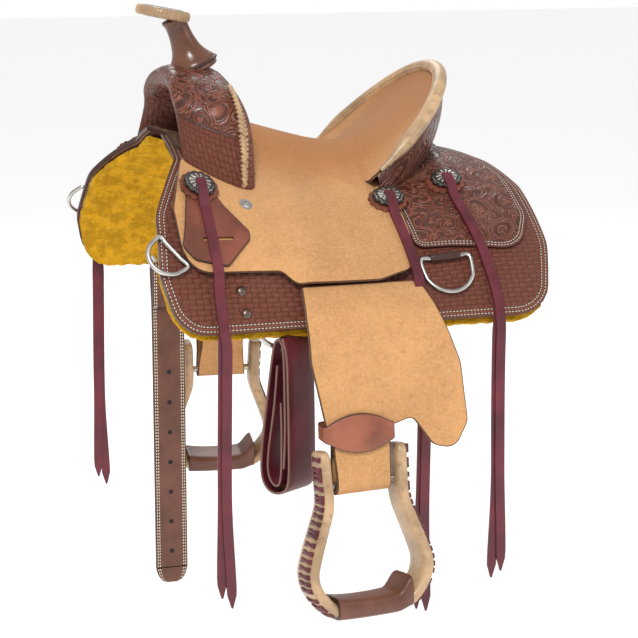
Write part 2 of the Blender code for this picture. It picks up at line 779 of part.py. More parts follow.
def lace_path(along, down, side, bottom):
    """Points down the middle of a lace: over the leather, over the skirt's edge and straight down."""
    start = lift_under_concho(along) + LACE_THICKNESS / 2 + LACE_CLEARANCE * (2 if along < -100 else 1)
    over_jockey = KEEPER_LIFT + LACE_THICKNESS / 2 + LACE_CLEARANCE
    on_skirt = 0.0092
    if along < -100:
        drift = -1 if side == RIGHT else 0
        places = [(0, down, start), (5 * drift, 180, start), (10 * drift, 234, start),
                  (16 * drift, 250, over_jockey),
                  (24 * drift, 270, on_skirt)]
    elif along < 100:
        places = [(0, down, start), (1, 135, start), (3, 180, start), (3, 225, start), (3, 244, start),
                  (3, 262, on_skirt + 0.003)]
    else:
        places = [(0, down, start), (9, 135, start), (16, 180, start), (16, 218, start), (16, 240, on_skirt)]
    places += [(places[-1][0], 286, on_skirt), (places[-1][0], 298, on_skirt)]
    points = [on_sheet(along + shift, units, lift, side) for shift, units, lift in places]
    edge = on_sheet(along + places[-1][0], 300, on_skirt, side)
    hang = Vector((edge.x, side * LACE_PLANE, edge.z - 0.016))
    steps = 7
    for step in range(steps + 1):
        points.append(Vector((hang.x, hang.y, hang.z + (bottom - hang.z) * step / steps)))
    return points


def smooth_line(points, parts=2):
    line = []
    last = len(points) - 1
    for index in range(last):
        a, b, c, d = (points[min(max(index + shift, 0), last)] for shift in (-1, 0, 1, 2))
        for part in range(parts):
            t = part / parts
            line.append(0.5 * (2 * b + (c - a) * t + (2 * a - 5 * b + 4 * c - d) * t * t
                               + (3 * b - a - 3 * c + d) * t ** 3))
    line.append(points[-1])
    return line


def ribbon(name, points, width, thickness, finish):
    """Flat strip along points whose width runs along X."""
    rings = []
    for index, point in enumerate(points):
        before = points[max(index - 1, 0)]
        after = points[min(index + 1, len(points) - 1)]
        run = (after - before).normalized()
        wide = Vector((1, 0, 0))
        wide = (wide - run * wide.dot(run)).normalized()
        thin = run.cross(wide)
        half_wide = wide * width / 2
        half_thin = thin * thickness / 2
        rings.append([point - half_wide - half_thin, point + half_wide - half_thin,
                      point + half_wide + half_thin,
                      point - half_wide + half_thin])
    return loft(name, rings, finish)


def laces(tag, side):
    """Each concho's lace: two tails side by side, joined under the concho."""
    for name, along, down in CONCHO_PLACES:
        bottom = LACE_BOTTOM if name == "middle" else LACE_BOTTOM + 0.030
        points = lace_path(along, down - 4, side, bottom)
        ribbon(f"lace_{tag}_{name}", points, LACE_WIDTH, LACE_THICKNESS, BURGUNDY)


# ------------------------------------------------------------------ rigging, latigo and billet

RIGGING_BEND = 270.0            # sheet units
RIGGING_TOP = 240.0


def rigging_point(along, down, height, side):
    """Point of the plate: it follows the skirt down to its bend and then hangs plumb."""
    if down <= RIGGING_BEND:
        return on_sheet(along, down, RIGGING_LIFT + height, side)
    bend = on_sheet(along, RIGGING_BEND, RIGGING_LIFT + RIGGING_PLATE / 2, side)
    drop = (down - RIGGING_BEND) / 1000
    return Vector((bend.x, bend.y + side * (height - RIGGING_PLATE / 2), bend.z - drop))


def rigging_plate(tag, side):
    """Steel plate between skirt and fleece, bent to hang plumb, with a slot for a strap."""
    middle = STRAP_CENTRE / SKIRT_LENGTH * SHEET_LENGTH
    scale = SHEET_LENGTH / SKIRT_LENGTH / 1000
    wide = RIGGING_HALF_WIDTH * 1000 * scale
    low = RIGGING_BEND + RIGGING_DROP * 1000
    hole_half = (STRAP_WIDTH * 500 + 2.5) * scale
    slot_low = low - BAR_HALF_HEIGHT * 2000
    slot_high = slot_low - STRAP_SLOT * 1000
    left = middle - wide
    right = middle + wide
    outline = rounded([(left + 10, RIGGING_TOP, 6), (right - 10, RIGGING_TOP, 6),
                       (right, RIGGING_BEND + 4, 12),
                       (right, low, 16), (left, low, 16), (left, RIGGING_BEND + 4, 12)])
    hole = rounded([(middle - hole_half, slot_high, 5), (middle + hole_half, slot_high, 5),
                    (middle + hole_half, slot_low, 5), (middle - hole_half, slot_low, 5)], 3)

    def place(along, down, height):
        return rigging_point(along, down, height, side)

    bent_piece(f"rigging_plate_{tag}", [outline, hole], RIGGING_PLATE, place, STEEL)


BAR_HALF_HEIGHT = 0.004
LOOP_CLEARANCE = 0.0025


def bar_point(side):
    """Middle of the plate's lower bar."""
    middle = STRAP_CENTRE / SKIRT_LENGTH * SHEET_LENGTH
    low = rigging_point(middle, RIGGING_BEND + RIGGING_DROP * 1000, RIGGING_PLATE / 2, side)
    return low + Vector((0, 0, BAR_HALF_HEIGHT))


def profile_strap(name, outer, inner, side, centre_y, finish):
    """Extrude a ring-shaped side profile of (out, height) points across the strap's width."""
    scale = 1000.0
    shape = cut_sheet([[Vector(point) * scale for point in outline] for outline in (outer, inner)], 1.0)
    for vert in shape.verts:
        vert.co = Vector((STRAP_CENTRE + vert.co.z * STRAP_WIDTH, side * (centre_y + vert.co.x / scale),
                          vert.co.y / scale))
    return add_piece(name, to_mesh(shape, name), finish)


def stadium(half, top, bottom, steps=6):
    """Upright rounded loop between two heights."""
    points = []
    for step in range(steps + 1):
        angle = math.pi * step / steps
        points.append((half * math.cos(angle), top - half + half * math.sin(angle)))
    for step in range(steps + 1):
        angle = math.pi + math.pi * step / steps
        points.append((half * math.cos(angle), bottom + half + half * math.sin(angle)))
    return points


def straps():
    """Folded latigo on the left plate and the off billet on the right one."""
    bar = bar_point(LEFT)
    top = bar.z + BAR_HALF_HEIGHT + LOOP_CLEARANCE + LATIGO_LEATHER
    outer = stadium(LATIGO_HALF_DEPTH, top, top - LATIGO_LENGTH)
    inner = stadium(LATIGO_HALF_DEPTH - LATIGO_LEATHER, top - LATIGO_LEATHER,
                    top - LATIGO_LENGTH + LATIGO_LEATHER)
    profile_strap("latigo", outer, inner, LEFT, abs(bar.y), BURGUNDY)
    half = RIGGING_PLATE / 2 + 0.0035 + BILLET_LEATHER
    top = bar.z + BAR_HALF_HEIGHT + LOOP_CLEARANCE + BILLET_LEATHER
    fold = stadium(half, top, top - 0.044)
    hole = stadium(half - BILLET_LEATHER, top - BILLET_LEATHER, top - 0.026)
    low = top - BILLET_LENGTH
    tail = [point for point in fold[:7]] + [(-BILLET_LEATHER / 2, top - 0.040), (-BILLET_LEATHER / 2, low),
                                            (BILLET_LEATHER / 2, low), (BILLET_LEATHER / 2, top - 0.040)]
    profile_strap("off_billet", tail, hole, RIGHT, abs(bar.y), TOOLED)


# ------------------------------------------------------------------ stirrup leather, fender and stirrup

FOLD_DOWN = 252.5               # sheet units: where the leather folds out from under the jockey
LEATHER_HALF_WIDTH = 27.0
LEATHER_END_DOWN = 289.0
LEATHER_MIDDLE = -18.0
WRAP_GAP = 0.0015               # between the bolt and the tongue round it
# across and height, in millimetres; heights below the bolt are wrapped round it
FENDER_OUTLINE = (
    (-80, -126, 4), (-80, -160, 40), (-66, -222, 8), (-60, -242, 8), (-57, -262, 6), (-56, -300, 0),
    (-55, -376, 3),
    (1, -376, 3), (2, -300, 0), (3, -256, 8), (6, -224, 5), (34, -217, 10), (58, -250, 16), (84, -256, 18),
    (99, -226, 18), (92, -165, 50), (62, -126, 4),
)


def bolt_middle(side):
    return Vector((STIRRUP_CENTRE, side * BOLT_OUT, BOLT_HEIGHT))


def wrap_radius():
    return BOLT_DIAMETER / 2 + WRAP_GAP + FENDER_LEATHER / 2


def fender_plane(z):
    """Sideways place of the fender's middle at a height above the bolt."""
    radius = wrap_radius()
    touch_y = BOLT_OUT + radius * math.cos(FENDER_LEAN)
    touch_z = BOLT_HEIGHT + radius * math.sin(FENDER_LEAN)
    if z <= FENDER_BEND:
        return touch_y - (z - touch_z) * math.tan(FENDER_LEAN)
    bend_y = touch_y - (FENDER_BEND - touch_z) * math.tan(FENDER_LEAN)
    share = (z - FENDER_BEND) / (FENDER_TOP[1] - FENDER_BEND)
    return bend_y + (FENDER_TOP[0] - bend_y) * share


def toe_out(point, side, amount):
    """Turn a point about an upright line through the bolt's middle; toes go out."""
    middle = bolt_middle(side)
    spun = (Matrix.Rotation(-side * STIRRUP_TOE_OUT * amount, 3, "Z")
            @ Vector((point.x - middle.x, point.y - middle.y, 0)))
    return Vector((middle.x + spun.x, middle.y + spun.y, point.z))


def fender_point(x, drop, height, side):
    """Point of the fender: drop is the height above ground level down to the bolt, then wrapped."""
    radius = wrap_radius()
    out = height - FENDER_LEATHER / 2
    touch = BOLT_HEIGHT + radius * math.sin(FENDER_LEAN)
    normal = Vector((0, side * math.cos(FENDER_LEAN), math.sin(FENDER_LEAN)))
    z = drop / 1000
    if z >= touch:
        point = Vector((x / 1000, side * fender_plane(z), z)) + normal * out
    else:
        middle = Vector((x / 1000, side * BOLT_OUT, BOLT_HEIGHT))
        down_way = Vector((0, side * math.sin(FENDER_LEAN), -math.cos(FENDER_LEAN)))
        run = touch - z
        turned_by = min(run / radius, math.pi)
        rest = max(run - math.pi * radius, 0.0)
        arm = normal * math.cos(turned_by) + down_way * math.sin(turned_by)
        point = middle + arm * (radius + out) - down_way * rest
    amount = 1 - ease((point.z - BOLT_HEIGHT - 0.005) / 0.030)
    return toe_out(point, side, amount)


def fender(tag, side):
    """Fender whose tongue passes round the stirrup bolt and up again behind itself."""
    radius = wrap_radius()
    touch = (BOLT_HEIGHT + radius * math.sin(FENDER_LEAN)) * 1000
    bends = [FENDER_BEND * 1000, -232, -250, -268, -282]
    bends += [touch - math.pi * radius * 1000 * step / 6 for step in range(7)]
    bends += [touch - math.pi * radius * 1000 - reach for reach in (12, 26, 42)]

    def place(x, drop, height):
        return fender_point(x, drop, height, side)

    bent_piece(f"fender_{tag}", [rounded(FENDER_OUTLINE, 5)], FENDER_LEATHER, place, SUEDE, bends=bends)


def stirrup_leather(tag, side):
    """Doubled strap from the fold to the skirt's edge, behind the fender."""
    low = LEATHER_MIDDLE - LEATHER_HALF_WIDTH
    high = LEATHER_MIDDLE + LEATHER_HALF_WIDTH
    outline = [(low, FOLD_DOWN), (high, FOLD_DOWN), (high, LEATHER_END_DOWN), (low, LEATHER_END_DOWN)]
    back_leather(f"stirrup_leather_{tag}", [outline], LEATHER_THICKNESS, LEATHER_LIFT, side, TOOLED)


HOBBLE_MIDDLE = (-0.0295, -0.2385)   # fore-aft place and height
HOBBLE_HALF_LENGTH = 0.038
HOBBLE_END_HEIGHT = 0.018
HOBBLE_MIDDLE_HEIGHT = 0.042


def hobble(tag, side):
    """Strap round the fender's neck and the tongue behind it, tallest at its middle."""
    front = FENDER_LEATHER / 2 + 0.0012
    back = 2 * wrap_radius() + FENDER_LEATHER / 2 + 0.0012
    inside = rounded([(-HOBBLE_HALF_LENGTH, -back, 0.002), (HOBBLE_HALF_LENGTH, -back, 0.002),
                      (HOBBLE_HALF_LENGTH, front, 0.002), (-HOBBLE_HALF_LENGTH, front, 0.002)], 2)
    dense = []
    for index, point in enumerate(inside):
        after = inside[(index + 1) % len(inside)]
        count = 6 if (after - point).length > 0.05 else 1
        dense += [point.lerp(after, step / count) for step in range(count)]
    middle = Vector((0, (front - back) / 2))
    rings = []
    for point in dense:
        away = point - middle
        outside = point + Vector((math.copysign(HOBBLE_LEATHER,
                                                away.x) * (abs(point.x) > HOBBLE_HALF_LENGTH - 0.0025),
                                  math.copysign(HOBBLE_LEATHER, away.y)))
        share = max(0.0, 1 - (point.x / HOBBLE_HALF_LENGTH) ** 2) if away.y > 0 else 0.0
        half = (HOBBLE_END_HEIGHT + (HOBBLE_MIDDLE_HEIGHT - HOBBLE_END_HEIGHT) * share) / 2
        ring = []
        for flat, shift in ((point, -half), (outside, -half), (outside, half), (point, half)):
            x = HOBBLE_MIDDLE[0] + flat.x
            z = HOBBLE_MIDDLE[1] + shift
            made = Vector((x, side * (fender_plane(z) + flat.y * math.cos(FENDER_LEAN)), z))
            ring.append(made)
        rings.append(ring)
    loft(f"hobble_strap_{tag}", rings, TOOLED, closed=True)


def stirrup_line():
    """Middle line of the stirrup's frame from the front leg's top to the rear leg's: (across, height) points."""
    top = BOLT_BELOW_LEG_TOP
    low = top - STIRRUP_HEIGHT + LEG_THICKNESS / 2
    neck = STIRRUP_NECK_HALF_WIDTH - LEG_THICKNESS / 2
    wide = STIRRUP_HALF_WIDTH - LEG_THICKNESS / 2
    half = [(neck - 0.001, top), (neck - 0.002, top - 0.030), (neck - 0.002, top - 0.060),
            (neck + 0.006, top - 0.085),
            (wide - 0.006, top - 0.112), (wide, top - 0.135), (wide - 0.005, top - 0.155),
            (wide - 0.022, low + 0.004), (wide - 0.040, low),
            (0.0, low)]
    front = [Vector((-across, 0, height)) for across, height in half]
    rear = [Vector((across, 0, height)) for across, height in reversed(half[:-1])]
    return front + rear


def stirrup_place(side):
    """Stirrup's own frame: origin at the bolt's middle, X along the bolt, leaning out below."""
    lean = Matrix.Rotation(side * FENDER_LEAN, 4, "X")
    return Matrix.Translation(bolt_middle(side)) @ Matrix.Rotation(-side * STIRRUP_TOE_OUT, 4, "Z") @ lean


def stirrup(tag, side):
    """Rawhide-covered frame, its leather tread and the bolt through its legs."""
    place = stirrup_place(side)
    line = smooth_line(stirrup_line(), 2)
    rings = []
    for index, point in enumerate(line):
        before = line[max(index - 1, 0)]
        after = line[min(index + 1, len(line) - 1)]
        run = (after - before).normalized()
        normal = Vector((-run.z, 0, run.x))
        height_share = (BOLT_BELOW_LEG_TOP - point.z) / STIRRUP_HEIGHT
        depth = LEG_DEPTH * (0.78 + 0.30 * ease(height_share * 1.3)) / 2
        half = LEG_THICKNESS / 2
        ring = []
        for across, out in ((-1, -0.6), (-0.7, -1), (0.7, -1), (1, -0.6), (1, 0.6), (0.7, 1), (-0.7, 1),
                            (-1, 0.6)):
            ring.append(place @ (point + normal * half * out + Vector((0, depth * across, 0))))
        rings.append(ring)
    solid = loft(f"stirrup_{tag}", rings, RAWHIDE)
    drill_legs(solid, place)
    tread_piece(tag, place)
    reach = STIRRUP_NECK_HALF_WIDTH + 0.004
    across = place @ Matrix.Rotation(math.pi / 2, 4, "Y")
    radius = BOLT_DIAMETER / 2
    turned(f"stirrup_bolt_{tag}", [(0, reach), (radius, reach), (radius, -reach), (0, -reach)], across, STEEL,
           steps=14)


def drill_legs(solid, place):
    """Cut the bolt's hole through both legs."""
    shape = bmesh.new()
    bmesh.ops.create_cone(shape, cap_ends=True, segments=14, radius1=BOLT_DIAMETER / 2 + GAP,
                          radius2=BOLT_DIAMETER / 2 + GAP,
                          depth=4 * STIRRUP_NECK_HALF_WIDTH)
    shape.transform(place @ Matrix.Rotation(math.pi / 2, 4, "Y"))
    mesh = bpy.data.meshes.new("bolt_hole")
    shape.to_mesh(mesh)
    shape.free()
    cutter = bpy.data.objects.new(f"bolt_hole_{solid.name}", mesh)
    GUIDES.objects.link(cutter)
    cutter.hide_render = True
    cutter.display_type = "WIRE"
    cut = solid.modifiers.new("bolt_hole", "BOOLEAN")
    cut.operation = "DIFFERENCE"
    cut.object = cutter


def tread_piece(tag, place):
    """Leather tread on the stirrup's floor."""
    low = BOLT_BELOW_LEG_TOP - STIRRUP_HEIGHT + LEG_THICKNESS + GAP
    half_length = STIRRUP_HALF_WIDTH - LEG_THICKNESS - 0.024
    half_depth = LEG_DEPTH * 0.5
    rings = []
    for step in range(7):
        across = -half_length + 2 * half_length * step / 6
        rise = 0.0008
        ring = []
        for depth, height in ((-1, 0.15), (-0.9, 0), (0.9, 0), (1, 0.15), (1, 0.7), (0.8, 1), (-0.8, 1),
                              (-1, 0.7)):
            ring.append(place @ Vector((across, half_depth * depth, low + rise + TREAD_THICKNESS * height)))
        rings.append(ring)
    loft(f"tread_{tag}", rings, TOOLED)


# ------------------------------------------------------------------ assembly

def build():
    for tag, side in SIDES:
        skirt_pieces(tag, side)
        tree_bars(tag, side)
        swell_lacing(tag, side)
        conchos(tag, side)
        laces(tag, side)
        dee(f"breast_dee_{tag}", -218, 209, math.radians(-53), 0.023, 0.031, side)
        dee(f"flank_dee_{tag}", 100, 222, 0.0, 0.029, 0.044, side)
        rigging_plate(tag, side)
        stirrup_leather(tag, side)
        fender(tag, side)
        hobble(tag, side)
        stirrup(tag, side)
    fork()
    horn()
    seat()
    cantle()
    straps()


build()
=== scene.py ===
import math

import bmesh
import bpy
from bpy.props import FloatProperty, FloatVectorProperty, IntProperty, PointerProperty
from mathutils import Matrix, Vector, noise


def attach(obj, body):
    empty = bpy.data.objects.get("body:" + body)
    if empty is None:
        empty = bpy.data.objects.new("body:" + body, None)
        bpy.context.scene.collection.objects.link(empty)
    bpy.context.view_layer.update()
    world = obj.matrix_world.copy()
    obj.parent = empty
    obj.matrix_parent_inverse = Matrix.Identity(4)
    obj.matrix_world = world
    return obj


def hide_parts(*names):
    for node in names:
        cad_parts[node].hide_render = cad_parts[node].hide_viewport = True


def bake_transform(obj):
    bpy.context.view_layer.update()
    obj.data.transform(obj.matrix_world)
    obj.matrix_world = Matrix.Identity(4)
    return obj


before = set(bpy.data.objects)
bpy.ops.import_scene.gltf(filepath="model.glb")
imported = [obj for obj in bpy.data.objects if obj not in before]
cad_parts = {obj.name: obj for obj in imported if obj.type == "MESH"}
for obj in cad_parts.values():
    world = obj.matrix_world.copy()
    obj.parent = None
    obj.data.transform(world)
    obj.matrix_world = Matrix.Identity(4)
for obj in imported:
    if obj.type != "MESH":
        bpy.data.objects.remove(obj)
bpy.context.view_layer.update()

bl_info = {
    "name": "Western saddle",
    "version": (1, 0, 0),
    "blender": (4, 5, 0),
    "location": "View3D > Sidebar > Saddle",
    "description": "Leather, rawhide, wool and metal for a western saddle, with its strings and studio",
    "category": "Object",
}

SIDES = (("left", -1), ("right", 1))

# the back that the leather lies on
LENGTH, SHEET, DEPTH = 0.470, 470.0, 300.0
HALF_WIDTH, EDGE_DROP, CHANNEL = 0.256, 0.127, 0.033
BOLT = Vector((-0.027, 0.295, -0.297))
LEAN, TOE = math.radians(8.3), math.radians(6.5)
SEAT_LIFT = 0.0101
INSIDE_EDGE = 6.0   # edge distance given to the seat's inner points, in millimetres


# ------------------------------------------------------------------ sizes and colours

class SaddleLeather(bpy.types.PropertyGroup):
    suede: FloatVectorProperty(name="Suede", description="Rough-out leather of seat and fenders",
                               subtype="COLOR",
                               default=(0.60, 0.300, 0.115))
    tooled: FloatVectorProperty(name="Tooled leather", description="Carved and stamped leather",
                                subtype="COLOR",
                                default=(0.160, 0.044, 0.024))
    rawhide: FloatVectorProperty(name="Rawhide", description="Bindings and stirrups", subtype="COLOR",
                                 default=(0.52, 0.34, 0.185))
    burgundy: FloatVectorProperty(name="Burgundy leather", description="Strings and latigo", subtype="COLOR",
                                  default=(0.110, 0.012, 0.022))
    wool: FloatVectorProperty(name="Wool", description="Fleece lining", subtype="COLOR",
                              default=(0.82, 0.43, 0.022))
    grid: FloatProperty(name="Mesh grid", description="Spacing of the leather's mesh in millimetres",
                        default=5.0,
                        min=2.0, max=15.0)
    basket: FloatProperty(name="Basket stamp", description="Side of one stamp in millimetres", default=8.0,
                          min=3.0,
                          max=20.0)


class SaddleStrings(bpy.types.PropertyGroup):
    width: FloatProperty(name="String width", description="Width of one string", default=0.0115, min=0.006,
                         max=0.02,
                         unit="LENGTH")
    scallops: IntProperty(name="Scallops", description="Scallops round a concho", default=12, min=6, max=24)


# ------------------------------------------------------------------ the back's shape

def ease(value):
    value = min(max(value, 0.0), 1.0)
    return 0.5 - 0.5 * math.cos(math.pi * value)


def withers(x):
    return 1.0 - ease((x / LENGTH + 0.535) / 0.54)


def spine_height(x):
    return 0.013 + 0.064 * withers(x) + 0.0176 * math.exp(-((x / LENGTH - 0.355) / 0.164) ** 2)


def section(x):
    start = math.radians(6) + math.radians(8) * withers(x)
    reach, drop = HALF_WIDTH - CHANNEL, spine_height(x) + EDGE_DROP
    chord = math.hypot(reach, drop)
    turn = 2 * (math.atan2(drop, reach) - start)
    radius = chord / (2 * math.sin(turn / 2))
    return start, radius, radius * turn


def on_back(along, down, lift, side):
    """Point at a place on the pattern sheet, in its millimetres, lifted off the back in metres."""
    x = along / SHEET * LENGTH
    start, radius, length = section(x)
    slope = start + down / DEPTH * length / radius
    y = CHANNEL + radius * (math.sin(slope) - math.sin(start)) + lift * math.sin(slope)
    z = spine_height(x) - radius * (math.cos(start) - math.cos(slope)) + lift * math.cos(slope)
    return Vector((x, side * max(y, 0.0008), z))


def place_on_back(along, down, lift, side):
    """Matrix whose Z leaves the back at a place on the sheet."""
    middle = on_back(along, down, lift, side)
    normal = (on_back(along, down, lift + 0.01, side) - middle).normalized()
    run = (on_back(along + 4, down, lift, side) - on_back(along - 4, down, lift, side)).normalized()
    across = normal.cross(run).normalized()
    return Matrix.Translation(middle) @ Matrix((run, across, normal)).transposed().to_4x4()


def lip_rise(along, down):
    """The seat jockey stands off over the stirrup leather."""
    window = ease((along + 100) / 34) * (1 - ease((along - 34) / 30))
    return 0.0075 * window * ease((down - 150) / 90)


# ------------------------------------------------------------------ shader maths

class Maths:
    """A socket with arithmetic: each operator adds its Math node."""

    def __init__(self, sheet, socket):
        self.sheet = sheet
        self.socket = socket

    def _with(self, operation, *others):
        return self.sheet.node("ShaderNodeMath", {"operation": operation}, dict(enumerate((self, *others))))

    def __add__(self, other):
        return self._with("ADD", other)

    def __sub__(self, other):
        return self._with("SUBTRACT", other)

    def __mul__(self, other):
        return self._with("MULTIPLY", other)

    def __truediv__(self, other):
        return self._with("DIVIDE", other)

    def __pow__(self, other):
        return self._with("POWER", other)

    def __rsub__(self, other):
        return self.sheet.node("ShaderNodeMath", {"operation": "SUBTRACT"}, {0: other, 1: self})

    __radd__ = __add__
    __rmul__ = __mul__

    def below(self, other):
        return self._with("LESS_THAN", other)

    def above(self, other):
        return self._with("GREATER_THAN", other)

    def wave(self):
        return self._with("SINE")

    def size(self):
        return self._with("ABSOLUTE")

    def part(self):
        return self._with("FRACT")

    def whole(self):
        return self._with("FLOOR")

    def top(self, other):
        return self._with("MAXIMUM", other)

    def ramp(self, low, high):
        """0 at low, 1 at high."""
        return self.sheet.node("ShaderNodeMapRange", {"interpolation_type": "SMOOTHSTEP"},
                               {"Value": self, "From Min": low, "From Max": high})


class Finish:
    """One material: a Principled shader and the nodes that feed it."""

    def __init__(self, name, colour, roughness, metallic=0.0, **sockets):
        self.material = bpy.data.materials.new(name)
        self.material.use_nodes = True
        self.tree = self.material.node_tree
        self.shader = self.tree.nodes["Principled BSDF"]
        self.material.diffuse_color = (*colour, 1)
        self.set("Base Color", (*colour, 1))
        self.set("Roughness", roughness)
        self.set("Metallic", metallic)
        for key, value in sockets.items():
            self.set(key.replace("_", " "), value)

    def set(self, name, value):
        socket = self.shader.inputs[name]
        if isinstance(value, Maths):
            self.tree.links.new(value.socket, socket)
        else:
            socket.default_value = value

    def node(self, kind, settings=None, values=None, out=0):
        made = self.tree.nodes.new(kind)
        for key, value in (settings or {}).items():
            setattr(made, key, value)
        for key, value in (values or {}).items():
            if isinstance(value, Maths):
                self.tree.links.new(value.socket, made.inputs[key])
            else:
                made.inputs[key].default_value = value
        return Maths(self, made.outputs[out])

    def place(self):
        return self.node("ShaderNodeTexCoord", out="Object")

    def number(self, name):
        return self.node("ShaderNodeAttribute", {"attribute_name": name}, out="Fac")

    def sheet_place(self):
        """Along and down on the pattern sheet, in millimetres."""
        return self.number("along"), self.number("down")

    def vector(self, x, y, z=0.0):
        return self.node("ShaderNodeCombineXYZ", {}, {0: x, 1: y, 2: z})

    def noise(self, scale, detail=3.0, where=None, roughness=0.55):
        return self.node("ShaderNodeTexNoise", {},
                         {"Vector": where or self.place(), "Scale": scale, "Detail": detail,
                                                    "Roughness": roughness})

    def cells(self, scale, where=None, feature="F1", out="Distance", **more):
        values = {"Vector": where or self.place(), "Scale": scale}
        values.update(more)
        return self.node("ShaderNodeTexVoronoi", {"feature": feature}, values, out)

    def mix(self, factor, first, second, blend="MIX"):
        made = self.tree.nodes.new("ShaderNodeMix")
        made.data_type = "RGBA"
        made.blend_type = blend
        for key, value in ((0, factor), (6, first), (7, second)):
            if isinstance(value, Maths):
                self.tree.links.new(value.socket, made.inputs[key])
            elif key == 0:
                made.inputs[key].default_value = value
            else:
                made.inputs[key].default_value = (*value[:3], 1)
        return Maths(self, made.outputs[2])

    def bump(self, height, strength=0.5, distance=0.001):
        normal = self.node("ShaderNodeBump", {},
                           {"Strength": strength, "Distance": distance, "Height": height})
        self.set("Normal", normal)


def shade(colour, amount):
    return tuple(min(channel * amount, 1.0) for channel in colour)


FINISHES = {}


def suede_finish(colour):
    made = Finish("suede", colour, 0.95, Sheen_Weight=0.15, Sheen_Roughness=0.5, Specular_IOR_Level=0.15)
    broad = made.noise(9.0, 4.0, roughness=0.6)
    rubbed = made.noise(115.0, 6.0, roughness=0.75)
    nap = made.noise(330.0, 5.0, roughness=0.75)
    base = made.mix(broad.ramp(0.30, 0.70), shade(colour, 0.84), shade(colour, 1.10))
    base = made.mix(rubbed.ramp(0.46, 0.70) * 0.45, base, shade(colour, 0.66))
    base = made.mix(nap.ramp(0.38, 0.74) * 0.42, base, (0.78, 0.52, 0.29))
    split = made.tree.nodes.new("ShaderNodeSeparateXYZ")
    made.tree.links.new(made.place().socket, split.inputs[0])
    # painted shade: the middle of the seat, near y = 0, is darkened towards deep brown
    wear_and_painted_shade = 1 - Maths(made, split.outputs[1]).size().ramp(0.05, 0.135)
    base = made.mix(wear_and_painted_shade * 0.62, base, (0.36, 0.130, 0.040))
    edge = made.number("edge")
    base = made.mix(edge.below(1.1) * 0.85, base, (0.05, 0.020, 0.010))
    made.set("Base Color", base)
    made.bump(nap * 0.8 + rubbed * 0.6, 0.75, 0.0012)
    return made


def stitched(made, base, height, offset, colour, pitch=4.2):
    """Add a row of stitches and its groove at a distance from the edge."""
    edge, run = made.number("edge"), made.number("run")
    away = (edge - offset).size()
    groove = 1 - away.ramp(0.6, 1.5)
    dash = (run / pitch).part().below(0.60)
    thread = away.below(0.62) * dash
    base = made.mix(groove * 0.75, base, (0.03, 0.010, 0.006))
    base = made.mix(thread, base, colour)
    return base, height - groove * 0.7 + thread * 0.9


def basket_height(made, size):
    """Basket stamp: square stamps turned alternately."""
    along, down = made.sheet_place()
    a = along * (1 / size)
    b = down * (1.35 / size)
    odd = ((a.whole() + b.whole()) * 0.5).part().above(0.25)
    fa, fb = a.part() - 0.5, b.part() - 0.5
    bars_a = (fa * (math.pi * 6)).wave().size()
    bars_b = (fb * (math.pi * 6)).wave().size()
    dome_a = 1 - (fb * 2).size() ** 3.0
    dome_b = 1 - (fa * 2).size() ** 3.0
    return odd * (bars_a * 0.35 + dome_a * 0.65) + (1 - odd) * (bars_b * 0.35 + dome_b * 0.65)


def flower_height(made, where, scale):
    """Carved flowers and scrolls: petals round the middle of each cell, with curling stems between."""
    drift = made.node("ShaderNodeTexNoise", {}, {"Vector": where, "Scale": scale * 0.55, "Detail": 1.0}, 1)
    shift = made.node("ShaderNodeVectorMath", {"operation": "SCALE"}, {0: drift, "Scale": 0.9 / scale})
    where = made.node("ShaderNodeVectorMath", {"operation": "ADD"}, {0: where, 1: shift})
    local = made.cells(scale, where, out="Position")
    offset = made.node("ShaderNodeVectorMath", {"operation": "SUBTRACT"}, {0: where, 1: local})
    scaled = made.node("ShaderNodeVectorMath", {"operation": "SCALE"}, {0: offset, "Scale": scale})
    split = made.tree.nodes.new("ShaderNodeSeparateXYZ")
    made.tree.links.new(scaled.socket, split.inputs[0])
    x, y = Maths(made, split.outputs[0]), Maths(made, split.outputs[1])
    radius = made.cells(scale, where)
    angle = made.node("ShaderNodeMath", {"operation": "ARCTAN2"}, {0: y, 1: x})
    petals = (angle * 2.5).wave().size()
    flower = (1 - (radius - petals * 0.12).ramp(0.10, 0.15)) * (0.7 + petals * 0.3)
    heart = 1 - radius.ramp(0.05, 0.07)
    curl = (angle + radius * 15.0).wave()
    scroll = 1 - (curl - 0.35).size().ramp(0.25, 0.75)
    leaves = (angle * 7.0 + radius * 22.0).wave() * 0.22
    border = made.cells(scale, where, "DISTANCE_TO_EDGE")
    stem = 1 - (border - 0.05).size().ramp(0.015, 0.045)
    away = radius.ramp(0.16, 0.24)
    carved = flower.top((scroll * 0.75 + leaves * scroll) * away).top(stem * 0.6)
    return carved + heart * 0.25


def tooled_colours(made, colour, height, grain):
    base = made.mix(height.ramp(0.05, 0.80), shade(colour, 0.42), shade(colour, 1.35))
    # random lighter patches of wear
    wear_and_painted_shade = made.noise(14.0, 4.0)
    base = made.mix(wear_and_painted_shade.ramp(0.45, 0.75) * 0.16, base, (0.36, 0.18, 0.14))
    return made.mix(grain.ramp(0.5, 0.8) * 0.15, base, shade(colour, 0.5))


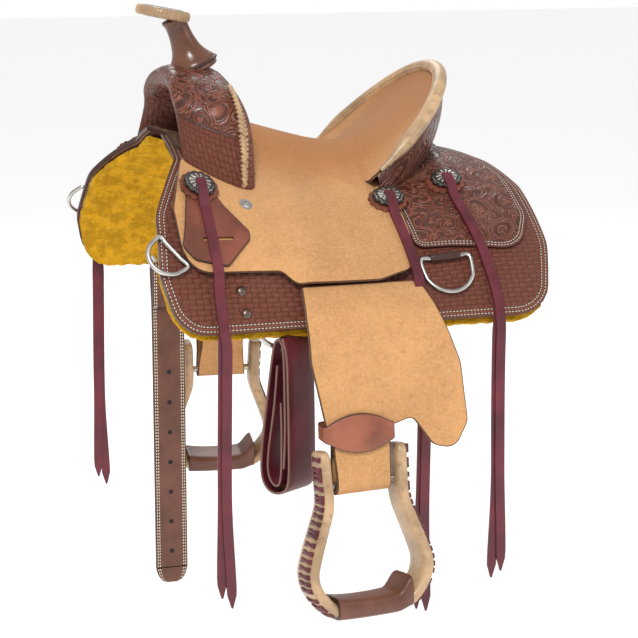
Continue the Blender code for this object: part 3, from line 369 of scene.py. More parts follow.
def tooled_finish(name, colour, pattern, size=8.5, rows=()):
    made = Finish(name, colour, 0.36, Specular_IOR_Level=0.5)
    grain = made.noise(700.0, 2.0)
    if pattern == "basket":
        height = basket_height(made, size)
    elif pattern == "flower":
        along, down = made.sheet_place()
        height = flower_height(made, made.vector(along * 0.001, down * 0.001), 1000 / size)
    else:
        carved = flower_height(made, made.place(), 1000 / size)
        band = made.number("down")
        stamp = basket_height(made, 6.5)
        low = band.ramp(78, 82)
        height = carved * (1 - low) + stamp * low
        height = height * (1 - (1 - (band - 80).size().ramp(0.8, 1.8)))
    if rows:
        inside = made.number("edge").ramp(rows[-1] + 1.2, rows[-1] + 2.0)
        height = height * inside + (1 - inside) * 0.55
    base = tooled_colours(made, colour, height, grain)
    made.set("Roughness", 0.26 + height * 0.20)
    for offset in rows:
        base, height = stitched(made, base, height, offset, (0.62, 0.52, 0.42))
    if rows:
        base = made.mix(made.number("edge").below(0.8) * 0.85, base, (0.025, 0.008, 0.006))
    made.set("Base Color", base)
    made.bump(height + grain * 0.08, 0.9, 0.0022)
    return made


def smooth_leather(name, colour, roughness=0.38, rows=(), thread=(0.5, 0.4, 0.3), rim=None):
    made = Finish(name, colour, roughness, Specular_IOR_Level=0.5)
    grain = made.cells(520.0)
    broad = made.noise(22.0, 4.0)
    height = grain * 0.35
    base = made.mix(broad.ramp(0.3, 0.7), shade(colour, 0.72), shade(colour, 1.35))
    for offset in rows:
        base, height = stitched(made, base, height, offset, thread)
    if rows or rim:
        base = made.mix(made.number("edge").below(0.9) * 0.85, base, rim or shade(colour, 0.25))
    made.set("Base Color", base)
    made.set("Roughness", roughness - 0.08 + broad * 0.2)
    made.bump(height, 0.35, 0.0006)
    return made


def rawhide_finish(colour):
    made = Finish("rawhide", colour, 0.38, Coat_Weight=0.25, Coat_Roughness=0.25)
    streak = made.noise(26.0, 5.0)
    spots = made.noise(120.0, 3.0)
    base = made.mix(streak.ramp(0.3, 0.7), shade(colour, 0.70), shade(colour, 1.18))
    base = made.mix(spots.ramp(0.52, 0.75) * 0.55, base, (0.22, 0.11, 0.055))
    made.set("Base Color", base)
    made.set("Roughness", 0.30 + streak * 0.25)
    made.bump(streak + spots * 0.4, 0.30, 0.0010)
    return made


def wool_finish(colour):
    made = Finish("wool", colour, 1.0, Specular_IOR_Level=0.05)
    lumps = made.noise(60.0, 3.0)
    fluff = made.noise(240.0, 6.0, roughness=0.75)
    base = made.mix(lumps.ramp(0.35, 0.65), shade(colour, 0.74), shade(colour, 1.08))
    # painted highlight on the raised tips of the pile and painted shade in its hollows, following the fluff
    # noise that also drives the bump
    base = made.mix(fluff.ramp(0.52, 0.72) * 0.55, base, (0.95, 0.66, 0.14))
    base = made.mix((1 - fluff.ramp(0.30, 0.46)) * 0.35, base, (0.50, 0.22, 0.01))
    made.set("Base Color", base)
    made.bump(fluff * 1.0 + lumps * 0.8, 1.0, 0.0050)
    return made


def metal_finish(name, colour, roughness, antique):
    made = Finish(name, colour, roughness, 1.0)
    scratch = made.noise(300.0, 4.0)
    tarnish = made.noise(60.0, 4.0)
    base = made.mix(tarnish.ramp(0.35, 0.75) * antique, colour, shade(colour, 0.30))
    made.set("Base Color", base)
    made.set("Roughness", roughness - 0.05 + scratch * 0.16)
    made.bump(scratch, 0.10, 0.0003)
    return made


def concho_finish():
    made = Finish("antique_silver", (0.50, 0.49, 0.46), 0.34, 1.0)
    radius, angle = made.number("edge"), made.number("run")
    rope = ((angle * 40.0 + radius * 0.9)).wave() * (1 - (radius - 16.2).size().ramp(0.9, 1.5))
    leaves = (angle * 6.0).wave().size() * (1 - (radius - 9.5).size().ramp(3.4, 4.4))
    ring = 1 - (radius - 13.9).size().ramp(0.3, 0.8)
    heart = 1 - radius.ramp(3.6, 4.2)
    height = leaves * 0.7 + rope * 0.4 + heart * 0.5 - ring * 0.8
    base = made.mix(height.ramp(0.05, 0.5), (0.07, 0.065, 0.06), (0.62, 0.60, 0.56))
    made.set("Base Color", base)
    made.set("Roughness", 0.5 - height.ramp(0.0, 0.7) * 0.25)
    made.bump(height, 0.9, 0.0014)
    return made


def wood_finish():
    made = Finish("tree_wood", (0.10, 0.055, 0.030), 0.7)
    split = made.node("ShaderNodeTexWave", {}, {"Vector": made.place(), "Scale": 28.0, "Distortion": 5.0})
    made.set("Base Color", made.mix(split, (0.08, 0.042, 0.022), (0.13, 0.075, 0.042)))
    made.bump(split, 0.3, 0.0005)
    return made


def make_finishes():
    look = bpy.context.scene.saddle_leather
    FINISHES["suede"] = suede_finish(tuple(look.suede))
    FINISHES["skirt"] = tooled_finish("basket_leather", tuple(look.tooled), "basket", look.basket, (3.4, 8.4))
    FINISHES["carved"] = tooled_finish("carved_leather", tuple(look.tooled), "flower", 25.0, (3.2, 6.6))
    FINISHES["swell"] = tooled_finish("swell_leather", tuple(look.tooled), "swell", 25.0)
    FINISHES["plain"] = smooth_leather("plain_leather", shade(tuple(look.tooled), 1.15), 0.40,
                                       rim=(0.018, 0.007, 0.005))
    FINISHES["horn"] = smooth_leather("horn_leather", (0.150, 0.058, 0.032), 0.24)
    FINISHES["hobble"] = smooth_leather("hobble_leather", (0.27, 0.085, 0.045), 0.42,
                                        rim=(0.018, 0.007, 0.005))
    FINISHES["tread"] = smooth_leather("tread_leather", (0.135, 0.050, 0.032), 0.36,
                                       rim=(0.018, 0.007, 0.005))
    FINISHES["burgundy"] = smooth_leather("burgundy_leather", tuple(look.burgundy), 0.36)
    FINISHES["latigo"] = smooth_leather("latigo_leather", shade(tuple(look.burgundy), 0.8), 0.34,
                                        rim=(0.20, 0.105, 0.075))
    # painted shade: near-black leather for the shade seen through the billet's punched holes
    FINISHES["hole"] = smooth_leather("punched_hole", (0.010, 0.006, 0.005), 0.7)
    FINISHES["dark_metal"] = metal_finish("bronzed_steel", (0.20, 0.15, 0.12), 0.35, 0.5)
    FINISHES["billet"] = smooth_leather("billet_leather", (0.125, 0.045, 0.028), 0.42, (2.6, 5.4),
                                        (0.75, 0.65, 0.5))
    FINISHES["rawhide"] = rawhide_finish(tuple(look.rawhide))
    FINISHES["wool"] = wool_finish(tuple(look.wool))
    FINISHES["steel"] = metal_finish("worn_steel", (0.62, 0.60, 0.57), 0.28, 0.5)
    FINISHES["silver"] = concho_finish()
    FINISHES["wood"] = wood_finish()
    FINISHES["thread"] = smooth_leather("whip_lace", (0.115, 0.020, 0.030), 0.42)


# ------------------------------------------------------------------ mesh helpers

def finished(name, shape, finish, bevel=0.0, smooth=40):
    """Turn a bmesh into a piece with closed outward faces, its finish and its last modifiers."""
    bmesh.ops.remove_doubles(shape, verts=shape.verts, dist=0.00002)
    bmesh.ops.recalc_face_normals(shape, faces=shape.faces)
    if shape.calc_volume(signed=True) < 0:
        bmesh.ops.reverse_faces(shape, faces=shape.faces)
    mesh = bpy.data.meshes.new(name)
    shape.to_mesh(mesh)
    shape.free()
    made = bpy.data.objects.new(name, mesh)
    bpy.context.scene.collection.objects.link(made)
    mesh.materials.append(FINISHES[finish].material)
    bpy.ops.object.select_all(action="DESELECT")
    made.select_set(True)
    bpy.context.view_layer.objects.active = made
    if bevel:
        rim = made.modifiers.new("rounded", "BEVEL")
        rim.width = bevel
        rim.segments = 2
        rim.limit_method = "ANGLE"
        rim.angle_limit = math.radians(50)
        rim.harden_normals = False
        bpy.ops.object.modifier_apply(modifier=rim.name)
    bpy.ops.object.shade_smooth_by_angle(angle=math.radians(smooth))
    return made


def rounded(corners, steps=5):
    """Outline through corners given as (along, down, corner radius)."""
    points = []
    count = len(corners)
    for index, (x, y, radius) in enumerate(corners):
        here = Vector((x, y))
        before = Vector(corners[index - 1][:2]) - here
        after = Vector(corners[(index + 1) % count][:2]) - here
        if radius <= 0:
            points.append(here)
            continue
        half = before.angle(after) / 2
        reach = min(radius / math.tan(half), 0.49 * before.length, 0.49 * after.length)
        radius = reach * math.tan(half)
        start, end = here + before.normalized() * reach, here + after.normalized() * reach
        centre = here + (before.normalized() + after.normalized()).normalized() * math.hypot(radius, reach)
        for step in range(steps + 1):
            points.append(centre + (start.lerp(end, step / steps) - centre).normalized() * radius)
    return points


def nearest_on_outline(point, outline, sums):
    """Distance to an outline, and how far round it that place is."""
    best, run = 1e9, 0.0
    x, y = point
    count = len(outline)
    for index in range(count):
        a, b = outline[index], outline[(index + 1) % count]
        dx, dy = b[0] - a[0], b[1] - a[1]
        length = dx * dx + dy * dy
        t = 0.0 if length == 0 else max(0.0, min(1.0, ((x - a[0]) * dx + (y - a[1]) * dy) / length))
        gap = math.hypot(a[0] + t * dx - x, a[1] + t * dy - y)
        if gap < best:
            best, run = gap, sums[index] + t * math.sqrt(length)
    return best, run


def cut_leather(outlines, step):
    """Flat closed sheet one unit thick, cut on a grid, with its edge distance and sheet place stored."""
    curve = bpy.data.curves.new("outline", "CURVE")
    curve.dimensions = "2D"
    curve.fill_mode = "BOTH"
    curve.extrude = 0.5
    for outline in outlines:
        spline = curve.splines.new("POLY")
        spline.points.add(len(outline) - 1)
        for point, place in zip(spline.points, outline):
            point.co = (place[0], place[1], 0.0, 1.0)
        spline.use_cyclic_u = True
    flat = bpy.data.objects.new("outline", curve)
    bpy.context.scene.collection.objects.link(flat)
    mesh = bpy.data.meshes.new_from_object(flat.evaluated_get(bpy.context.evaluated_depsgraph_get()))
    bpy.data.objects.remove(flat, do_unlink=True)
    shape = bmesh.new()
    shape.from_mesh(mesh)
    bpy.data.meshes.remove(mesh)
    bmesh.ops.remove_doubles(shape, verts=shape.verts, dist=0.01)
    first = outlines[0]
    for axis in (0, 1):
        values = [point[axis] for point in first]
        low, high = math.ceil(min(values) / step + 0.01), math.floor(max(values) / step - 0.01)
        normal = Vector((1, 0, 0)) if axis == 0 else Vector((0, 1, 0))
        for count in range(low, high + 1):
            bmesh.ops.bisect_plane(shape, geom=shape.verts[:] + shape.edges[:] + shape.faces[:], dist=0.0005,
                                   plane_co=normal * count * step, plane_no=normal)
    slanted = []
    for edge in shape.edges:
        a, b = edge.verts[0].co, edge.verts[1].co
        if (abs(a.z - b.z) < 0.1 and abs(a.x - b.x) > 0.002 and abs(a.y - b.y) > 0.002
                and len(edge.link_faces) == 2):
            if all(abs(face.normal.z) > 0.9 for face in edge.link_faces):
                slanted.append(edge)
    bmesh.ops.dissolve_edges(shape, edges=slanted, use_verts=False, use_face_split=False)
    layers = {name: shape.verts.layers.float.new(name) for name in ("edge", "run", "along", "down")}
    sums = [0.0]
    for index in range(len(first)):
        sums.append(sums[-1] + (first[(index + 1) % len(first)] - first[index]).length)
    for vert in shape.verts:
        gap, run = nearest_on_outline((vert.co.x, vert.co.y), first, sums)
        vert[layers["edge"]] = gap
        vert[layers["run"]] = run
        vert[layers["along"]] = vert.co.x
        vert[layers["down"]] = vert.co.y
    return shape


def leather(name, outlines, thickness, place, finish, step=None, bevel=0.0009, smooth=40):
    """Cut, bend and round one piece: place(along, down, height) gives each point."""
    shape = cut_leather(outlines, step or bpy.context.scene.saddle_leather.grid)
    for vert in shape.verts:
        vert.co = place(vert.co.x, vert.co.y, (vert.co.z + 0.5) * thickness)
    return finished(name, shape, finish, bevel, smooth)


def back_leather(name, outlines, thickness, lift, side, finish, **more):
    def place(along, down, height):
        base = lift(along, down) if callable(lift) else lift
        return on_back(along, down, base + height, side)
    return leather(name, outlines, thickness, place, finish, **more)


def skin(rings, closed_length=False, layers=None):
    """Faces between rings of equal length, as a bmesh."""
    shape = bmesh.new()
    stored = {name: shape.verts.layers.float.new(name) for name in (layers or {})}
    made = [[shape.verts.new(point) for point in ring] for ring in rings]
    count = len(rings[0])
    spans = len(rings) if closed_length else len(rings) - 1
    for index in range(spans):
        here, there = made[index], made[(index + 1) % len(rings)]
        for step in range(count):
            after = (step + 1) % count
            shape.faces.new((here[step], here[after], there[after], there[step]))
    if not closed_length:
        shape.faces.new(made[0])
        shape.faces.new(list(reversed(made[-1])))
    for name, layer in stored.items():
        for ring, row in zip(made, layers[name]):
            for vert, value in zip(ring, row):
                vert[layer] = value
    return shape


def spread(points, parts, closed=False):
    """Smooth line through points."""
    line = []
    count = len(points)
    last = count if closed else count - 1
    for index in range(last):
        if closed:
            a, b, c, d = (points[(index + shift) % count] for shift in (-1, 0, 1, 2))
        else:
            a, b, c, d = (points[min(max(index + shift, 0), count - 1)] for shift in (-1, 0, 1, 2))
        for part in range(parts):
            t = part / parts
            line.append(0.5 * (2 * b + (c - a) * t + (2 * a - 5 * b + 4 * c - d) * t * t
                               + (3 * b - a - 3 * c + d) * t ** 3))
    if not closed:
        line.append(points[-1].copy())
    return line


def pipe(points, radius, sides=12, closed=False, ripple=None):
    """Rings round a line; ripple(share, angle) scales the radius."""
    rings = []
    count = len(points)
    normal = None
    for index, point in enumerate(points):
        before = points[index - 1] if (closed or index) else point
        after = points[(index + 1) % count] if (closed or index < count - 1) else point
        run = (after - before).normalized()
        if normal is None:
            normal = run.orthogonal().normalized()
        normal = (normal - run * normal.dot(run)).normalized()
        other = run.cross(normal)
        ring = []
        for side in range(sides):
            angle = 2 * math.pi * side / sides
            size = radius * (ripple(index / max(count - 1, 1), angle) if ripple else 1.0)
            ring.append(point + (normal * math.cos(angle) + other * math.sin(angle)) * size)
        rings.append(ring)
    return rings


def merged(shapes):
    whole = bmesh.new()
    for shape in shapes:
        mesh = bpy.data.meshes.new("part")
        shape.to_mesh(mesh)
        shape.free()
        whole.from_mesh(mesh)
        bpy.data.meshes.remove(mesh)
    return whole


def lathe(profile, place, steps=48):
    """Closed turned shape from (radius, height) points that start and end on the axis or meet."""
    rings = []
    for step in range(steps):
        angle = 2 * math.pi * step / steps
        rings.append([place @ Vector((radius * math.cos(angle), radius * math.sin(angle), height))
                      for radius, height in profile])
    shape = bmesh.new()
    made = [[shape.verts.new(point) for point in ring] for ring in rings]
    for index in range(steps):
        here, there = made[index], made[(index + 1) % steps]
        for step in range(len(profile) - 1):
            shape.faces.new((here[step], here[step + 1], there[step + 1], there[step]))
    bmesh.ops.remove_doubles(shape, verts=shape.verts, dist=0.00002)
    return shape


# ------------------------------------------------------------------ patterns

SKIRT = ((-186, 2, 0), (-186, 66, 30), (-229, 160, 60), (-237, 236, 60), (-222, 300, 46), (-120, 300, 0),
         (100, 300, 0), (212, 300, 44), (234, 206, 90), (233, 100, 60), (214, 26, 44), (160, -31, 0),
         (118, -31, 0), (96, 2, 10))
FLEECE = ((-184, 5, 0), (-184, 66, 30), (-227, 160, 60), (-235, 236, 60), (-220, 304, 46), (212, 304, 44),
          (232, 206, 90), (231, 100, 60), (212, 28, 44), (158, -28, 0),
          (120, -28, 0), (98, 5, 10))
JOCKEY = ((-181, 74, 8), (-190, 100, 20), (-212, 168, 40), (-206, 236, 48), (-150, 234, 30), (-98, 232, 10),
          (-84, 251, 12),
          (14, 251, 26), (60, 236, 30), (68, 170, 20), (60, 74, 0))
REAR_JOCKEY = ((66, 90, 0), (70, 202, 14), (110, 205, 40), (196, 219, 34), (219, 165, 30), (216, 86, 40),
               (200, 34, 30),
               (160, -30, 0), (112, -30, 0), (90, 40, 10))
KEEPER = ((-192, 140, 4), (-156, 138, 4), (-150, 152, 20), (-127, 184, 10), (-129, 195, 8), (-160, 229, 6),
          (-197, 222, 10),
          (-209, 206, 10), (-203, 186, 20))
CONCHOS = (("front", -174, 129), ("middle", 57, 122), ("rear", 136, 100))
RIM_HALF = 0.130


def rim(turn):
    """Cantle rim: turn from 0 at its left end to pi at its right end."""
    rise = math.sin(turn)
    return Vector((0.044 + 0.123 * rise ** 0.9, -RIM_HALF * math.cos(turn), 0.022 + 0.115 * rise))


def seat_edge(x, side):
    """Where the seat turns into the jockey, and the slope there."""
    along = x * 1000
    first = on_back(along, 74, SEAT_LIFT + 0.0035, side)
    after = on_back(along, 84, SEAT_LIFT + 0.0035, side)
    return first, (after.z - first.z) / abs(after.y - first.y)


SEAT_LINE = [Vector((x / 1000, 0, z / 1000)) for x,
             z in ((-94, 83), (-62, 74), (-24, 63), (12, 54), (44, 51))]


def seat_height(x):
    line = spread(SEAT_LINE, 8)
    for a, b in zip(line, line[1:]):
        if x <= b.x:
            t = (x - a.x) / (b.x - a.x)
            return a.z + (b.z - a.z) * t
    return line[-1].z


def seat_section(x, columns):
    """Points across the seat at x from the left jockey to the right one."""
    left, slope = seat_edge(x, -1)
    reach = abs(left.y)
    middle = seat_height(x)
    points = []
    for column in range(columns):
        y = -reach + 2 * reach * column / (columns - 1)
        q = abs(y) / reach
        z = (middle * (2 * q ** 3 - 3 * q * q + 1) + left.z * (3 * q * q - 2 * q ** 3)
             + slope * reach * (q ** 3 - q * q))
        points.append(Vector((x, y, z)))
    return points


def build_seat():
    """One suede piece: the dish, and the jockeys that it runs into."""
    shape = bmesh.new()
    layer = shape.verts.layers.float.new("edge")
    columns = 41
    xs = [-0.092 + 0.004 * step for step in range(35)]
    grid = [[shape.verts.new(point) for point in seat_section(x, columns)] for x in xs]
    base = [vert.co.copy() for vert in grid[-1]]
    rows = 20
    for row in range(1, rows + 1):
        t = row / rows
        line = []
        for column in range(columns):
            share = column / (columns - 1)
            turn = math.pi * (0.5 - 0.5 * math.cos(math.pi * share)) * 0.5 + math.pi * share * 0.5
            top = rim(turn)
            top += (base[column] - top).normalized() * 0.004
            point = base[column].lerp(top, t)
            point.z = base[column].z + (top.z - base[column].z) * (0.22 * t + 0.78 * t ** 1.9)
            line.append(shape.verts.new(point))
        grid.append(line)
    for here, there in zip(grid, grid[1:]):
        for column in range(columns - 1):
            shape.faces.new((here[column], here[column + 1], there[column + 1], there[column]))
    outline = rounded(JOCKEY)
    sums = [0.0]
    for index in range(len(outline)):
        sums.append(sums[-1] + (outline[(index + 1) % len(outline)] - outline[index]).length)
    for _, side in SIDES:
        before = None
        rows_down = 44
        for step in range(71):
            along = -212 + 4 * step
            along = min(max(along, -209.5), 67.0) if step in (0, 70) else along
            hits = []
            for a, b in zip(outline, outline[1:] + outline[:1]):
                if (a.x - along) * (b.x - along) <= 0 and a.x != b.x:
                    hits.append(a.y + (b.y - a.y) * (along - a.x) / (b.x - a.x))
            if len(hits) < 2:
                before = None
                continue
            low, high = min(hits), max(hits)
            if -92 <= along <= 44:
                low = 74.0
            line = []
            for row in range(rows_down + 1):
                down = low + (high - low) * row / rows_down
                lift = SEAT_LIFT + 0.0035 + lip_rise(along, down)
                vert = shape.verts.new(on_back(along, down, lift, side))
                line.append(vert)
            if before:
                for row in range(rows_down):
                    shape.faces.new((before[row], before[row + 1], line[row + 1], line[row]))
            before = line
    bmesh.ops.remove_doubles(shape, verts=shape.verts, dist=0.0004)
    near = [vert for vert in shape.verts
            if not vert.is_boundary and abs(vert.co.y) > 0.075 and vert.co.x < 0.07 and vert.co.z > -0.02]
    for _ in range(6):
        bmesh.ops.smooth_vert(shape, verts=near, factor=0.5, use_axis_x=False, use_axis_y=True,
                              use_axis_z=True)
    bmesh.ops.recalc_face_normals(shape, faces=shape.faces)
    if sum(face.normal.z * face.calc_area() for face in shape.faces) < 0:
        bmesh.ops.reverse_faces(shape, faces=shape.faces)
    for vert in shape.verts:
        vert[layer] = 0.0 if vert.is_boundary else INSIDE_EDGE
    mesh = bpy.data.meshes.new("seat_suede")
    shape.to_mesh(mesh)
    shape.free()
    made = bpy.data.objects.new("seat_suede", mesh)
    bpy.context.scene.collection.objects.link(made)
    mesh.materials.append(FINISHES["suede"].material)
    bpy.ops.object.select_all(action="DESELECT")
    made.select_set(True)
    bpy.context.view_layer.objects.active = made
    wall = made.modifiers.new("wall", "SOLIDIFY")
    wall.thickness = 0.0034
    wall.offset = -1
    bpy.ops.object.modifier_apply(modifier=wall.name)
    rim_cut = made.modifiers.new("rounded", "BEVEL")
    rim_cut.width = 0.0008
    rim_cut.segments = 2
    rim_cut.limit_method = "ANGLE"
    rim_cut.angle_limit = math.radians(55)
    bpy.ops.object.modifier_apply(modifier=rim_cut.name)
    bpy.ops.object.shade_smooth_by_angle(angle=math.radians(40))
    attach(made, "saddle")
    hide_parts("seat_leather", "seat_jockey_left", "seat_jockey_right", "ground_seat")


def build_skirts():
    for tag, side in SIDES:
        skirt = back_leather(f"skirt_{tag}_tooled", [rounded(SKIRT)], 0.0045, 0.0, side, "skirt",
                             bevel=0.0012)
        jockey = back_leather(f"rear_jockey_{tag}_carved", [rounded(REAR_JOCKEY)], 0.0036, 0.0048, side,
                              "carved")
        keeper = [rounded(KEEPER)]
        keeper.append([Vector(point) for point in ((-184, 196), (-148, 193), (-148, 197), (-184, 200))])
        holder = back_leather(f"latigo_keeper_{tag}_cut", keeper, 0.0032, SEAT_LIFT + 0.0037, side, "plain",
                              step=4)
        for made, node, slot in ((skirt, f"skirt_{tag}", "tooled_leather"),
                                 (jockey, f"rear_jockey_{tag}", "tooled_leather"),
                                 (holder, f"latigo_keeper_{tag}", "tooled_leather")):
            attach(made, "saddle")
            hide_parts(node)


def build_fleece():
    """Wool lining with an uneven pile."""
    for tag, side in SIDES:
        def place(along, down, height):
            pile = noise.noise(Vector((along / 26, down / 26, side * 3.0))) * 0.0026
            pile += noise.noise(Vector((along / 9, down / 9, 7.0))) * 0.0030
            lift = -0.0146 - pile if height < 0.005 else -0.0056
            ruffle = noise.noise(Vector((along / 7, down / 7, 5.0))) * 1.6
            return on_back(along + ruffle, down + ruffle, lift, side)
        made = leather(f"fleece_{tag}_pile", [rounded(FLEECE)], 0.011, place, "wool", step=4, bevel=0.0022,
                       smooth=120)
        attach(made, "saddle")
        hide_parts(f"fleece_{tag}")


# ------------------------------------------------------------------ fork and horn

FORK = (
    ((-0.173, 0.062, 0.102), (-0.177, 0.093, 0.086), (-0.097, 0.127, 0.052), (-0.101, 0.078, 0.070)),
    ((-0.174, 0.048, 0.112), (-0.180, 0.084, 0.113), (-0.096, 0.108, 0.092), (-0.104, 0.060, 0.090)),
    ((-0.173, 0.030, 0.118), (-0.178, 0.058, 0.136), (-0.100, 0.069, 0.121), (-0.110, 0.034, 0.104)),
    ((-0.172, 0.0, 0.120), (-0.175, 0.0, 0.148), (-0.105, 0.0, 0.141), (-0.114, 0.0, 0.110)),
)


def fork_ring(corners, offset, per_side=7):
    middle = sum(corners, Vector()) / 4
    ring = []
    for index, corner in enumerate(corners):
        before, after = corners[index - 1], corners[(index + 1) % 4]
        start, end = corner.lerp(before, 0.42), corner.lerp(after, 0.42)
        for step in range(per_side):
            blend = step / (per_side - 1)
            point = start.lerp(corner, blend).lerp(corner.lerp(end, blend), blend)
            ring.append(point + (point - middle).normalized() * offset)
    return ring


def fork_rings(offset, parts=6):
    foot = [on_back(along, down, SEAT_LIFT + 0.0036, -1) for along,
            down in ((-170, 66), (-181, 86), (-106, 120), (-98, 74))]
    left = [foot] + [[Vector((x, -y, z)) for x, y, z in corners] for corners in FORK]
    right = [[Vector((c.x, -c.y, c.z)) for c in corners] for corners in reversed(left[:-1])]
    rings = [fork_ring(corners, offset) for corners in left + right]
    columns = [spread([ring[index] for ring in rings], parts) for index in range(len(rings[0]))]
    return [[column[row] for column in columns] for row in range(len(columns[0]))]


def build_fork():
    rings = fork_rings(0.0036)
    down, along = [], []
    middle = len(rings) // 2
    for index, ring in enumerate(rings):
        travel = abs(index - middle) / middle
        down.append([travel * 118.0 for _ in ring])
        travelled = [0.0]
        for a, b in zip(ring, ring[1:]):
            travelled.append(travelled[-1] + (b - a).length * 1000)
        along.append(travelled)
    cover = finished("fork_cover_carved", skin(rings, layers={"down": down, "along": along}), "swell",
                     smooth=50)
    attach(cover, "saddle")
    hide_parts("fork_cover", "tree_fork")
    for tag, side in SIDES:
        half = list(reversed(rings[:middle + 1])) if side < 0 else rings[middle:]
        middles = [sum(ring, Vector()) / len(ring) for ring in half]
        edge = spread([ring[16] for ring in half][6:], 4)
        cores = spread(middles[6:], 4)
        gaps = [0.0]
        for a, b in zip(edge, edge[1:]):
            gaps.append(gaps[-1] + (b - a).length)
        braids, mark = [], 0.002
        while mark < gaps[-1] - 0.006:
            index = max(i for i, value in enumerate(gaps[:-1]) if value <= mark)
            point, core = edge[index], cores[index]
            run = (edge[index + 1] - edge[index]).normalized()
            out = (point - core)
            out = (out - run * out.dot(run)).normalized()
            across = run.cross(out)
            wide = 0.0092 * min(1.0, 0.55 + 4 * math.sin(math.pi * mark / gaps[-1]) * 0.25)
            for way in (-1, 1):
                strand = []
                for step in range(7):
                    t = step / 6
                    strand.append(point + across * way * wide * (1 - 1.15 * t) + run * (0.0072 * t)
                                  + out * (0.0006 + 0.0019 * math.sin(math.pi * min(t * 1.1, 1.0))))
                braids.append(skin(pipe(strand, 0.0024, 8)))
            mark += 0.0054
        braid = finished(f"swell_lacing_{tag}_braid", merged(braids), "rawhide", smooth=60)
        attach(braid, "saddle")
        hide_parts(f"swell_lacing_{tag}")


def build_horn():
    tilt = math.radians(11)
    cap_place = Matrix.Translation((-0.173, 0, 0.208)) @ Matrix.Rotation(tilt, 4, "Y")
    core = [(0, 0.0074), (0.012, 0.0074), (0.021, 0.0072), (0.0265, 0.0058), (0.0270, -0.0050),
            (0.020, -0.0062),
            (0, -0.0062)]
    cap = finished("horn_cap_leather", lathe(core, cap_place), "plain", smooth=40)
    ring = []
    for step in range(17):
        angle = 2 * math.pi * step / 16
        ring.append((0.0290 + 0.0030 * math.cos(angle), 0.0058 * math.sin(angle)))
    binding = lathe(ring, cap_place, 72)
    stitches = [binding]
    for count in range(44):
        angle = 2 * math.pi * count / 44
        loop = []
        for step in range(9):
            turn = -0.9 + step * 0.42
            radius = 0.0290 + 0.0029 * math.cos(turn)
            a = angle + step * 0.010
            loop.append(cap_place @ Vector((radius * math.cos(a), radius * math.sin(a),
                                            0.0057 * math.sin(turn))))
        stitches.append(skin(pipe(loop, 0.0008, 5)))
    edge = finished("horn_cap_binding_laced", merged(stitches), "rawhide", smooth=60)
    top, foot = Vector((-0.160, 0, 0.2015)), Vector((-0.139, 0, 0.1490))
    axis = top - foot
    length = axis.length
    place = Matrix.Translation(foot) @ axis.to_track_quat("Z", "Y").to_matrix().to_4x4()
    profile = [(0, length), (0.0150, length), (0.0136, length * 0.85), (0.0138, length * 0.65),
               (0.0155, length * 0.46),
               (0.0185, length * 0.28), (0.0235, length * 0.13), (0.0285, length * 0.02), (0.0292, -0.004),
               (0.026, -0.010),
               (0, -0.010)]
    smooth = spread([Vector((a, b)) for a, b in profile], 4)
    shape = lathe([(max(p.x, 0), p.y) for p in smooth], place, 56)
    neck = finished("horn_wrap_smooth", shape, "horn", smooth=50)
    rope = []
    for step in range(64):
        angle = 2 * math.pi * step / 64
        rope.append(place @ Vector((0.0295 * math.cos(angle), 0.0295 * math.sin(angle), -0.002)))
    collar = finished("horn_collar", skin(pipe(rope, 0.0018, 8, True, lambda s,
                                               a: 1 + 0.25 * math.sin(s * 240 + a)), True),
                      "plain", smooth=60)
    for made, nodes, slot in ((cap, ("horn_cap",), "tooled_leather"),
                              (edge, ("horn_cap_binding",), "rawhide"),
                              (neck, ("horn_wrap", "horn_post"), "tooled_leather"),
                              (collar, (), "tooled_leather")):
        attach(made, "saddle")
        if nodes:
            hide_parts(*nodes)


# ------------------------------------------------------------------ cantle

